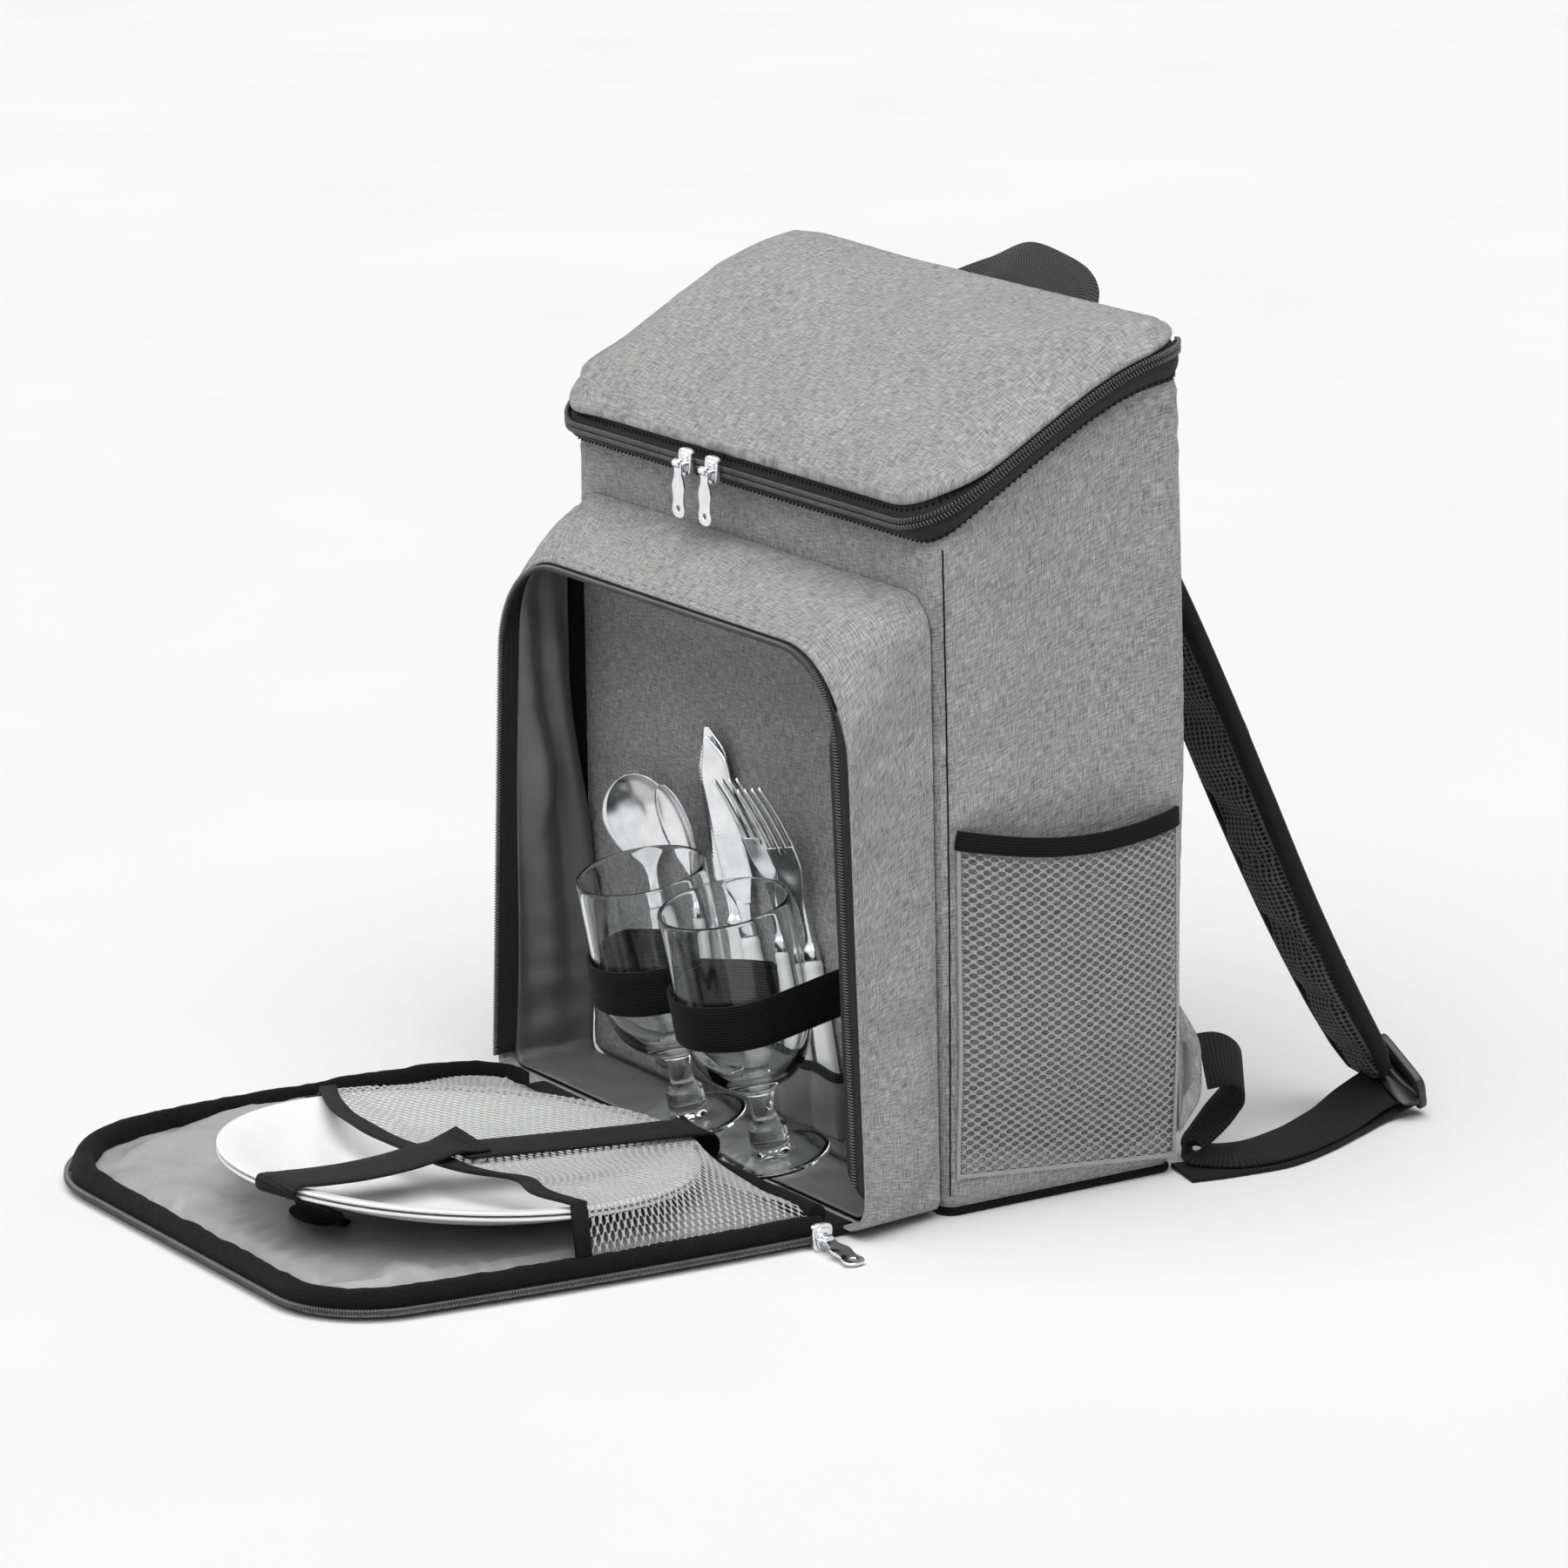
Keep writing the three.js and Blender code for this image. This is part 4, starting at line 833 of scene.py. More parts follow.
def make_body():
    rows, sides, arc = 56, (18, 44, 18, 44), 5
    share = np.concatenate([[0, 0.004, 0.012, 0.022], np.linspace(0.04, 0.985, rows - 6), [0.994, 1]])
    grid = []
    for s in share:
        inset = 4 * (1 - smooth(s, 0, 0.022)) + 0.8 * smooth(s, 0.985, 1)
        swell = 2 * math.sin(math.pi * s)
        loop = plan(dict(BODY, half=BODY["half"] + swell, back=BODY["back"] + swell), inset, sides, arc)
        z = lerp(3.4, rim_height(loop[:, 1]) - TAPE["below"], s)
        grid.append(np.column_stack([loop, z]))
    P = np.array(grid)
    # The upper back edge stands out a little
    P[..., 1] += 2.0 * smooth(P[..., 1], 48, 62) * smooth(P[..., 2], 120, 200)
    x, y, z = P[..., 0], P[..., 1], P[..., 2]
    hold = np.zeros(x.shape)
    hold[:4], hold[-2:] = 1, 1
    corner = smooth(np.abs(x), 141, 147) * smooth(np.abs(y), 55, 60)
    hold = np.maximum(hold, 0.9 * corner)
    joint = (np.abs(z - POCKET["joint"]) < 4) & (y < -60)
    hold[joint] = 1
    moved = puff(P, grid_faces(*x.shape, True), hold, 2.2, 0.012, 3.5)
    # Nothing swells into the pocket, the side nets or the straps
    low = np.abs(x) > 148
    reach = np.abs(x) + np.where((z < 176) & low, 0.6, 3.0)
    moved[..., 0] = np.clip(moved[..., 0], -reach, reach)
    inside = (np.abs(x) < 147) & (z < 272)
    moved[..., 1] = np.clip(moved[..., 1], y - np.where(inside, 0.05, 2.0), y + 1.8)
    moved[..., 2] = np.where(hold > 0.95, z, moved[..., 2])
    shape = skin(moved, True)
    # Painted shade: the wall inside the pocket and the sides under the nets take the darker copy of the
    # melange
    pocket_wall_painted_shade = (y < BODY["front"] + 2) & (z < POCKET["joint"] - 6) & (np.abs(x) < 147)
    under_net_painted_shade = (np.abs(x) > 148) & (np.abs(y) < 56) & (z > 14) & (z < 158)
    shape.finish = np.where((pocket_wall_painted_shade | under_net_painted_shade)[:-1], 2, 0).ravel().tolist()
    for sign in (-1, 1):
        corner = int(np.argmax(sign * x[28] - y[28]))
        shape.tube(moved[3:-2, corner], 0.38, 6, 3)
    top = moved[-1]
    inner = []
    for inset, drop in [(3, 0.2), (4, 3), (4.4, 30)]:
        loop = plan(BODY, inset, sides, arc)
        inner.append(np.column_stack([loop, rim_height(loop[:, 1]) - TAPE["below"] - drop]))
    # The inside of the rim takes the darker satin, painted shade
    shape.grid(np.array([top, *inner]), True, finish=1)
    obj = shape.make("insulated_walls", [MELANGE, SATIN_PAINTED_SHADE, MELANGE_PAINTED_SHADE, BINDING], "main_shell", "melange")

    profile = chaikin([(8, 0.1), (3.4, 0.1), (2.7, 0.8), (2.7, 2.3), (3.4, 3), (8, 3)], 2)
    loops = [plan(BODY, inset, sides, arc) for inset, _ in profile]
    rings = np.array([np.column_stack([loop, np.full(len(loop), z)]) for loop, (_, z) in zip(loops, profile)])
    capped(rings).make("bottom_panel", BINDING, "base", "black_fabric")


def lid_edge(side, t, inset):
    """A point on the lid's outline: sides 0 to 3 from the right, counter-clockwise, t from -1 to 1."""
    hx, hy = LID["half"] - inset, (LID["back"] - LID["front"]) / 2 - inset
    r = max(LID["corner"] - inset, 3)
    a, b = (hx, hy) if side % 2 == 0 else (hy, hx)
    straight, arc = b - r, r * math.pi / 4
    s = t * (straight + arc)
    if abs(s) <= straight:
        p = (a, s)
    else:
        angle = (abs(s) - straight) / r
        p = (a - r + r * math.cos(angle), math.copysign(straight + r * math.sin(angle), s))
    for _ in range(side):
        p = (-p[1], p[0])
    return p[0], p[1] + (LID["back"] + LID["front"]) / 2


def lid_side(u, v):
    """The side of the lid that a place on the border of a square from -1 to 1 belongs to, and t along it."""
    if abs(u) >= abs(v):
        return (0, v) if u > 0 else (2, -v)
    return (1, -u) if v > 0 else (3, u)


def lid_droop(y):
    """How far the lid's edge comes down over the zip along the sides."""
    return 3.6 * smooth(y, -62, -30) * (1 - 0.5 * smooth(y, 44, 66))


def make_lid():
    nu, nv = 72, 36
    first = 2.2
    P = np.zeros((nv + 1, nu + 1, 3))
    middle = np.array([0, (LID["back"] + LID["front"]) / 2])
    for j in range(nv + 1):
        for i in range(nu + 1):
            u, v = 2 * i / nu - 1, 2 * j / nv - 1
            m = max(abs(u), abs(v), 1e-9)
            P[j, i, :2] = middle + m * (np.array(lid_edge(*lid_side(u / m, v / m), first)) - middle)
    dx = LID["half"] - first - np.abs(P[..., 0])
    dy = np.minimum(P[..., 1] - LID["front"], LID["back"] - P[..., 1]) - first
    d = np.minimum(np.minimum(dx, dy), (dx + dy) * 0.8)
    rise = 5.2 + 2.6 * smooth(d, -4, 14) + 2.2 * smooth(d, 8, 60)
    rise += 4.2 * smooth(-P[..., 0], 50, 135) * (1 - 0.6 * smooth(P[..., 1], 10, 55))
    rise += 1.2 * smooth(P[..., 1], 20, 58)
    P[..., 2] = rim_height(P[..., 1]) + TAPE["above"] + GAP + rise
    P[..., 2] -= lid_droop(P[..., 1]) * (1 - smooth(d, 0, 26))
    edge = [(0, i) for i in range(nu)] + [(j, nu) for j in range(nv)]
    edge += [(nv, i) for i in range(nu, 0, -1)] + [(j, 0) for j in range(nv, 0, -1)]
    ring_at = np.array([j * (nu + 1) + i for j, i in edge])
    skirt = []
    hem = [(first, 5.2), (-1.5, 4.8), (-3.4, 2.4), (-2.4, 0.1), (3, -0.6), (9, 1.5)]
    for inset, z in chaikin(hem, 1)[1:]:
        row = []
        for j, i in edge:
            side, t = lid_side(2 * i / nu - 1, 2 * j / nv - 1)
            at_x, at_y = lid_edge(side, t, 0)
            flush = lerp(1.2, 0.3, smooth(at_x, -152, -100))
            px, py = lid_edge(side, t, inset if inset > 0 else inset * lerp(flush, 1, smooth(at_y, -66, -44)))
            z0 = float(rim_height(py) - lid_droop(py)) + TAPE["above"] + GAP
            row.append((px, py, z0 + z))
        skirt.append(row)
    skirt = np.array(skirt)
    count = len(ring_at)
    faces = list(grid_faces(nv + 1, nu + 1))
    points = np.concatenate([P.reshape(-1, 3), skirt.reshape(-1, 3)])
    rings = [ring_at] + [(nv + 1) * (nu + 1) + k * count + np.arange(count) for k in range(len(skirt))]
    for a, b in zip(rings[:-1], rings[1:]):
        faces += [(a[k], b[k], b[(k + 1) % count], a[(k + 1) % count]) for k in range(count)]
    hold = np.zeros(len(points))
    hold[rings[0]] = 0.7
    for ring in rings[1:]:
        hold[ring] = 1
    moved = puff(points, faces, hold, 2.6, 0.012, 3.2)
    shape = Shape()
    shape.add_points(moved)
    faces = [tuple(int(i) for i in f) for f in faces]
    flat = points[:, :2] * [1, 1.14]
    shape.add_faces(faces, np.concatenate([flat[list(f)] for f in faces]), 0)
    obj = shape.make("padded_lid", MELANGE, "lid", "melange")


LID_SIDES, LID_ARC = (60, 120, 60, 120), 14


def lid_band():
    """The zip band as a function of v, with its outward directions, round the whole lid."""
    body, lid = plan(BODY, 0, LID_SIDES, LID_ARC), plan(LID, 0, LID_SIDES, LID_ARC)
    along = unit(np.roll(lid, -1, 0) - np.roll(lid, 1, 0))
    out = np.stack([along[:, 1], -along[:, 0]], -1)

    def row(v, lift=0.0):
        spot = lerp(body, lid, v) + out * (TAPE["bow"] * math.sin(math.pi * v) + lift)
        z = rim_height(spot[:, 1]) + lerp(GAP - TAPE["below"], TAPE["above"], v)
        return np.column_stack([spot, z])
    return row, np.column_stack([out, np.zeros(len(out))])


def make_lid_zip():
    row, out = lid_band()
    total = len(out)
    round_back = 11
    start, end = LID_ARC - round_back, last_arc(LID_SIDES, LID_ARC) + round_back
    run = np.arange(start, end + 1)
    levels = np.linspace(0, 1, 9)
    P = np.array([row(v)[run] for v in levels])
    ripple = 0.5 * fuzz(P * [1, 1, 0.3], 0.05, 3) * np.sin(np.pi * levels)[:, None]
    P = P + out[run] * (ripple[..., None] - 0.2)
    shape = skin(P)
    for v in (0.08, 0.93):
        stitches(shape, row(v, 0.15)[run], out[run], 3.2, 1)
    tape = shape.make("lid_tape", [TAPE_LOOK, GROSGRAIN], "lid_zip_tape", "black_fabric", thick=1.2)

    behind = np.arange(end + 1, start + total) % total
    P = np.array([row(v)[behind] for v in levels])
    hinge = skin(P).make("lid_back_strip", MELANGE, "lid_hinge", "melange", thick=1.4)

    shape = Shape()
    chain = row(TAPE["seat"], GAP + 1.1)[run]
    for side in (1, -1):
        teeth(shape, chain + [0, 0, 1.35 * side], out[run], *LID_TEETH, 0.3 * side)
    shape.tube(chain - out[run] * 0.6, 1.0, 6, 1)
    shape.make("lid_coil", [COIL_WITH_PAINTED_HIGHLIGHT, TAPE_LOOK], "lid_zip_chain", "coil")


def circle(x, z, rx, rz, count=24):
    return [(x + rx * math.cos(a), z + rz * math.sin(a)) for a in turns(count)]


def slider_shape(matrix):
    shape = Shape()
    outline = chaikin([(0, 5.6), (2.4, 5.6), (4.4, 4.6), (4.3, 1), (3.4, -3.4), (2.6, -5.5), (0, -5.6)], 2)
    whole = [tuple(p) for p in outline] + [(-x, z) for x, z in outline[::-1][1:-1]]
    points, faces = flat_plate(whole, [], 3.0, 0.7)
    shape.solid(points + [0, -1.5, 0], faces, matrix)
    points, faces = flat_plate([(x * 0.72, z * 0.74) for x, z in whole], [], 1.2, 0.4)
    shape.solid(points + [0, -3.3, 0], faces, matrix)
    bridge = chaikin([(-3.5, -2.6, 0), (-3.5, -5.2, 0), (-3.1, -6, 0),
                      (3.1, -6, 0), (3.5, -5.2, 0), (3.5, -2.6, 0)], 3)
    shape.tube(stood(bridge, matrix), 0.78, 10)
    return shape


def pull_shape(matrix):
    """A wavy puller hanging down -Z from its eye, with an oval hole low in it."""
    long = 24
    rows = chaikin([(0.0, 2.3), (0.1, 2.5), (0.22, 2.2), (0.42, 4.8), (0.62, 3.7), (0.7, 3.6), (0.86, 4.9),
                    (0.97, 3.8), (1.0, 1.2)], 2)
    whole = [(w, -t * long) for t, w in rows] + [(-w, -t * long) for t, w in rows[::-1]]
    shape = Shape()
    points, faces = flat_plate(whole, [circle(0, -0.84 * long, 1.9, 1.7)], 1.3, 0.45)
    shape.solid(points, faces, matrix)
    angle = turns(20)
    profile = [(1.28, -2.4), (2.0, -2.4), (2.1, -1.9), (2.1, 1.9), (2.0, 2.4), (1.28, 2.4)]
    ring = np.array([[(x, r * math.cos(a), r * math.sin(a)) for a in angle] for r, x in profile])
    shape.grid(stood(ring, matrix), True)
    a = shape.count - len(angle) * len(profile)
    last = a + len(angle) * (len(profile) - 1)
    quads = [(a + i, a + (i + 1) % 20, last + (i + 1) % 20, last + i) for i in range(20)]
    shape.add_faces(quads, np.zeros((80, 2)), 0)
    return shape


def place(x, y, z, turn_z=0.0, turn_x=0.0, then=(0, 0, 0)):
    m = Matrix.Translation((x, y, z)) @ Matrix.Rotation(turn_z, 4, "Z")
    m = m @ Matrix.Translation(then) @ Matrix.Rotation(turn_x, 4, "X")
    return np.array(m)


def make_sliders():
    for side, x in (("left", -29), ("right", -7)):
        body = slider_shape(place(x, SLIDER_Y, CHAIN_Z))
        body.make(f"lid_slider_{side}_body", CHROME, f"lid_slider_{side}", "chrome")
        pull = pull_shape(place(x, SLIDER_Y - PULL_REACH, CHAIN_Z))
        pull.make(f"lid_puller_{side}", CHROME, f"lid_pull_{side}", "chrome", f"{side}_lid_pull")
    at = (FLAP["half"] + 3.6, FLAP["hinge"] - 10, 5.6)
    slider_shape(place(*at, math.pi / 2)).make("flap_slider_body", CHROME, "flap_slider", "chrome")
    rest = place(*at, math.pi / 2, math.radians(-79), (0, -PULL_REACH, 0))
    pull_shape(rest).make("flap_puller", CHROME, "flap_pull", "chrome", "pocket_flap_pull")


def make_pocket():
    deep, lip = BODY["front"] - GAP, -108.6
    depths = np.linspace(deep, lip, 17)
    P = np.array([pocket_loop(y, -0.1) for y in depths])
    hold = np.zeros(P.shape[:2])
    hold[0], hold[-1], hold[-2] = 1, 1, 0.5
    hold[P[..., 2] < 6] = 1
    moved = puff(P, grid_faces(*hold.shape, True), hold, 1.6, 0.02, 2.6)
    moved[..., 1] = np.clip(moved[..., 1], P[-1, :, 1], deep)
    moved[..., 2] = np.maximum(moved[..., 2], 0.6)
    shape = skin(moved, True)
    hem = ((lip - 0.5, 0.3), (lip - 0.5, 0.9), (lip, 1.3), (-101, 1.8))
    rolled = [pocket_loop(y, inset) for y, inset in hem]
    shape.grid(np.array([moved[-1], *rolled]), True)
    shape.grid(np.array([pocket_loop(y, 3) for y in (-101, -90, -76, deep)]), True, finish=1)
    stitches(shape, pocket_zip(lip + 2.4, -0.3), [0, 0, 1], 3.2)
    obj = shape.make("pocket_wall", [MELANGE, BINDING], "pocket_gusset", "melange")

    P = []
    for t in np.linspace(0, 1, 26):
        y = lerp(-64.2, -102.6, t)
        ring = pocket_loop(y, 3.8)
        inward = unit((np.array([0, 0, 120]) - ring) * [1, 0, 0.9])
        z = ring[:, 2]
        side = smooth(np.abs(ring[:, 0]), 110, 142)
        hang = side * np.sin(np.pi * np.clip((z - 8) / 232, 0, 1)) ** 0.7
        fold = 0.5 + 0.5 * np.sin((y + 64) * 0.30 + z * 0.021 + 0.7)
        deepfold = smooth(fuzz(ring * [0.2, 1.6, 0.5], 0.035, 5), -0.1, 0.5)
        depth = hang * (6.5 * fold + 7.0 * deepfold * math.sin(math.pi * t))
        floor = smooth(-z, -16, -7)
        depth += floor * (1.4 + 2.8 * fuzz(ring * [1, 1.5, 0.3], 0.045, 9)) * math.sin(math.pi * t) ** 0.5
        bunch = smooth(-ring[:, 0], 108, 138) * smooth(z, 6, 16) * (1 - smooth(z, 34, 90))
        gather = 0.5 + 0.5 * np.sin(z * 0.34 + 2.6 * fuzz(ring, 0.03, 11))
        depth += bunch * 3.2 * gather * math.sin(math.pi * t)
        depth += 0.7 * fuzz(ring, 0.06, 2) * math.sin(math.pi * t)
        # On the left the lining has come away from the wall behind it
        loose = smooth(-ring[:, 0], 100, 138) * smooth(z, 96, 190)
        share = (lerp(-73.5, -102.6, t) - BODY["front"]) / (y - BODY["front"])
        ring[:, 1] = BODY["front"] + (ring[:, 1] - BODY["front"]) * lerp(1, share, loose)
        P.append(ring + inward * np.maximum(depth, 0)[:, None])
    # The pocket's lining takes the darker satin, painted shade
    lining = skin(np.array(P), True).make("pocket_satin", SATIN_PAINTED_SHADE, "pocket_lining", "satin", thick=0.7)

    # Along the right the tape turns into the pocket's mouth
    forward = ((-99, 3.4), (-102, 2.9), (-106, 2.4), (-108.6, 1.9), (-110.6, 1.5))
    sideways = ((-110.2, 11), (-110.9, 8.6), (-110.9, 5.6), (-110.4, 3), (-109, 1))
    plain, inward = (np.array([pocket_zip(*row) for row in rows]) for rows in (forward, sideways))
    turned = (smooth(plain[0, :, 0], 112, 140) * (1 - smooth(plain[0, :, 2], 220, 254)))[:, None]
    P = lerp(plain, inward, turned)
    tape = skin(P).make("pocket_tape", TAPE_LOOK, "pocket_zip_tape", "black_fabric", thick=0.9)

    shape = Shape()
    path, before = pocket_zip(-111, 1.2), pocket_zip(-111, 2.4)
    out = unit(lerp(unit(path - before), np.array([0.3, -1, 0]), turned))
    path = lerp(path, pocket_zip(-111.9, 4.6), turned)
    teeth(shape, path, out, *POCKET_TEETH)
    shape.tube(path + [0, 0.9, 0] - out * 0.2, 0.9, 6)
    shape.make("pocket_coil", COIL_WITH_PAINTED_HIGHLIGHT, "pocket_zip_chain", "coil")


def lining_height(x, y):
    reach = np.hypot(x - PLATE["x"], y - PLATE["y"])
    under = 1 - smooth(reach, 78, 112)
    pressed = PLATE["z"] - PLATE["stack"] - 14.8 + (PLATE["y"] - y) * math.tan(math.radians(PLATE["tilt"]))
    return lerp(12.0, np.minimum(pressed, 11), under), under


def make_flap():
    profile = chaikin([(12, 0.3), (3, 0.3), (0.2, 1.2), (0.2, 3.2), (3, 4), (12, 4)], 2)
    rings = np.array([flap_loop(inset, z) for inset, z in profile])
    panel = capped(rings).make("flap_outer_cloth", MELANGE, "flap_panel", "melange")

    # The lining: rows from the hinge to the far edge, columns from border to border
    inset = 9.5
    ys = np.concatenate([np.linspace(FLAP["hinge"] - 0.5, FLAP["far"] + inset + 34, 58),
                         FLAP["far"] + inset + 34 * (1 - np.sin(np.linspace(0.08, 1, 14) * math.pi / 2))])
    cols = np.linspace(0, 1, 74)
    P = np.zeros((len(ys), len(cols), 3))
    for j, y in enumerate(ys):
        lo, hi = flap_bounds(y, inset)
        P[j, :, 0], P[j, :, 1] = lerp(lo, hi, cols), y
    x, y = P[..., 0], P[..., 1]
    height, under = lining_height(x, y)
    from_side = np.minimum(x - x[:, :1], x[:, -1:] - x)
    from_edge = np.minimum(from_side, y - ys[-1])
    swell = smooth(from_edge, -2, 9 + 15 * smooth(-x, 40, 120)) * smooth(FLAP["hinge"] - y, -1, 24)
    P[..., 2] = lerp(6.4, height, swell)
    hold = np.zeros(x.shape)
    hold[0], hold[-1], hold[:, 0], hold[:, -1] = 1, 1, 1, 1
    hold = np.maximum(hold, smooth(under, 0.5, 0.9))
    moved = puff(P, grid_faces(*x.shape), hold, 2.0, 0.03, 5.0)
    most = height + 2.2 * (1 - under)
    moved[..., 2] = np.clip(moved[..., 2], 5.2, most)
    crease = 0.9 * fuzz(P * [1, 1, 0], 0.022, 4) + 0.5 * fuzz(P * [0.6, 1.8, 0], 0.05, 6)
    pucker = 0.9 * fuzz(P * [1, 1, 0], 0.11, 12) * (1 - smooth(from_edge, 8, 30))
    moved[..., 2] += (crease + pucker) * swell * (1 - under)
    # Under the net the satin keeps below the threads
    below = np.maximum(np.minimum(moved[..., 2], net_height(x, y) - 1.0), 5.2)
    moved[..., 2] = lerp(moved[..., 2], below, smooth(y - net_free(x), -8, 0))
    lining = skin(moved).make("flap_satin", SATIN_LIGHT, "flap_lining", "satin", thick=0.6)

    # The bound edge is a soft roll of cloth with a restless inner edge
    section = [(0.2, 4.2), (0.2, 7.2), (2.8, 11), (6.2, 12), (9.2, 10.4), (10.8, 6.8), (10.4, 4.6)]
    section = chaikin(section, 1)
    rails = np.array([flap_zip(i, z) for i, z in section])
    rails[..., 2] = 4.2 + (rails[..., 2] - 4.2) * (1 + 0.35 * smooth(-rails[..., 0], 60, 135))
    wobble = fuzz(rails * [1, 1, 0.4], 0.08, 8)
    fine = fuzz(rails, 0.2, 1)
    share = np.linspace(0, 1, len(section))[:, None]
    inward = unit(flap_zip(20) - flap_zip(0))
    rails = rails + inward * ((1.7 * wobble + 0.8 * fine) * smooth(share, 0.35, 1))[..., None]
    rails[..., 2] += (0.7 * wobble + 0.5 * fine) * np.sin(np.pi * share)
    obj = capped(rails.transpose(1, 0, 2)).make("flap_bound_edge", BINDING, "flap_binding", "black_fabric")

    shape = Shape()
    path = flap_zip(-1.7, 4.0)
    out = unit(flap_zip(-4) - flap_zip(-1))
    teeth(shape, path, [0, 0, 1], *POCKET_TEETH)
    shape.tube(path - out * 0.7, 1.0, 6)
    shape.make("flap_coil", COIL_WITH_PAINTED_HIGHLIGHT, "flap_zip_chain", "coil")

    xs = np.linspace(-116, 142, 90)
    profile = [(-116.4, 1.2), (-116.6, 4.6), (-112, 5.8), (-107, 5.7), (-103.5, 5.2), (-103.4, 1.2)]
    profile = chaikin(profile, 2)
    P = np.array([[(x, y, z) for y, z in profile] for x in xs])
    P[..., 2] += 0.35 * fuzz(P, 0.05, 3) * smooth(P[..., 2], 2, 5)
    shape = capped(P)
    # On the right the flap's near edge is a bound roll in front of the glass
    roll = np.array([(x, -121.8, 11.4) for x in np.linspace(56, 142, 60)])
    roll[:, 2] += 0.7 * fuzz(roll, 0.08, 2)
    shape.tube(roll, 4.3, 12, 1)
    shape.make("flap_fold_tape", [GROSGRAIN, BINDING], "flap_hinge", "black_fabric")


def make_plates():
    under = [(0, -13), (40, -13), (60, -12.9), (66, -12.2),
             (80, -9.0), (93, -2.6), (102.6, -1.2), (103.6, -0.6)]
    inside = [(103.5, 0.3), (102.4, 0.5), (94, -0.5), (79, -7), (66, -10.3), (60, -10.9), (40, -11), (0, -11)]
    profile = np.array(under + inside)
    profile = np.concatenate([profile[:1], chaikin(profile[1:-1], 2), profile[-1:]])
    for name, drop in (("plate_lower", PLATE["stack"]), ("plate_upper", 0)):
        shape = Shape()
        stand = place(PLATE["x"], PLATE["y"], PLATE["z"] - drop, 0, -math.radians(PLATE["tilt"]))
        shape.turned(profile, 120, stand)
        shape.make(f"{name}_dish", WHITE_PLASTIC, name, "white_plastic")


NET_SHOULDER = PLATE["radius"] + 1.4
NET_NEAR = FLAP["hinge"] - 6.5


def net_bounds(y):
    """The net's sides: sewn inside the border on the left, over it on the right."""
    return flap_bounds(y, 10.5)[0], flap_bounds(y, 6.0)[1]


def net_height(x, y):
    """The net lies over the plates' rim and runs down to the flap's border and to the hinge."""
    left, other = net_bounds(y)
    dx, dy = x - PLATE["x"], y - PLATE["y"]
    reach = np.hypot(dx, dy)
    half = np.where(dx > 0, other - PLATE["x"], PLATE["x"] - left) + 0.01
    to_side = half * reach / np.maximum(np.abs(dx), 1e-3)
    to_hinge = np.where(dy > 0, (FLAP["hinge"] - PLATE["y"]) * reach / np.maximum(dy, 1e-3), 1e9)
    border = np.minimum(to_side, to_hinge)
    out = np.clip((reach - NET_SHOULDER) / np.maximum(border - NET_SHOULDER, 1), 0, 1)
    edge = np.where(to_hinge < to_side, lerp(8.5, 10.6, smooth(np.abs(x), 100, 128)),
                    np.where(dx < 0, 9.2, 10.6))
    over = rim_plane(y) + 2.2 - 0.9 * smooth(reach, 90, 30)
    # Near the hinge on the left the net hangs slack
    slack = smooth(-dx, 0, 60) * smooth(dy, -10, 40)
    return lerp(over, edge - 1.6 * slack, out ** lerp(0.9, 0.55, slack))


def net_free(x):
    away = np.abs(x - PLATE["x"])
    left, other = lerp(-246, -210, smooth(away, 60, 172)), lerp(-246, -224, smooth(away, 40, 130))
    free = np.where(x < PLATE["x"], left, other)
    return free + 13 * np.exp(-((x - 88) / 17) ** 2) - 4 * np.exp(-((x + 4) / 34) ** 2)


def lattice(shape, surface, size, hole):
    """An open knitted net over surface(s, t): diamond cells, each with an oval hole."""
    a, b = CELL
    wide, high = size
    columns, rows = int(wide / (2 * a)), int(high / b) - 1
    scale_s, scale_t = wide / (2 * a * columns + a), high / (b * (rows + 1))
    outline = [(-1, 0), (-0.5, 0.5), (0, 1), (0.5, 0.5), (1, 0), (0.5, -0.5), (0, -1), (-0.5, -0.5)]
    angle = np.pi - np.arange(8) * np.pi / 4
    oval = np.stack([hole[0] * np.cos(angle), hole[1] * np.sin(angle)], -1)
    ring = np.array(outline) * [a, b]
    places = [(i, j) for j in range(rows) for i in range(columns)]
    centres = np.array([(a + 2 * a * i + (a if j % 2 else 0), b * (j + 1)) for i, j in places])
    outer = centres[:, None] + ring
    inner = centres[:, None] + oval
    keys = np.round(outer.reshape(-1, 2) / [a / 2, b / 2]).astype(int)
    unique, where = np.unique(keys, axis=0, return_inverse=True)
    where = where.reshape(-1, 8)
    spots = np.concatenate([unique * [a / 2, b / 2], inner.reshape(-1, 2)]) * [scale_s, scale_t]
    points = surface(spots[:, 0], spots[:, 1])
    start = shape.add_points(points)
    holes = len(unique) + np.arange(len(centres) * 8).reshape(-1, 8)
    faces = []
    for k in range(8):
        n = (k + 1) % 8
        faces.append(np.stack([where[:, k], where[:, n], holes[:, n], holes[:, k]], -1))
    faces = np.concatenate(faces)
    shape.add_faces(faces + start, spots[faces], 0)


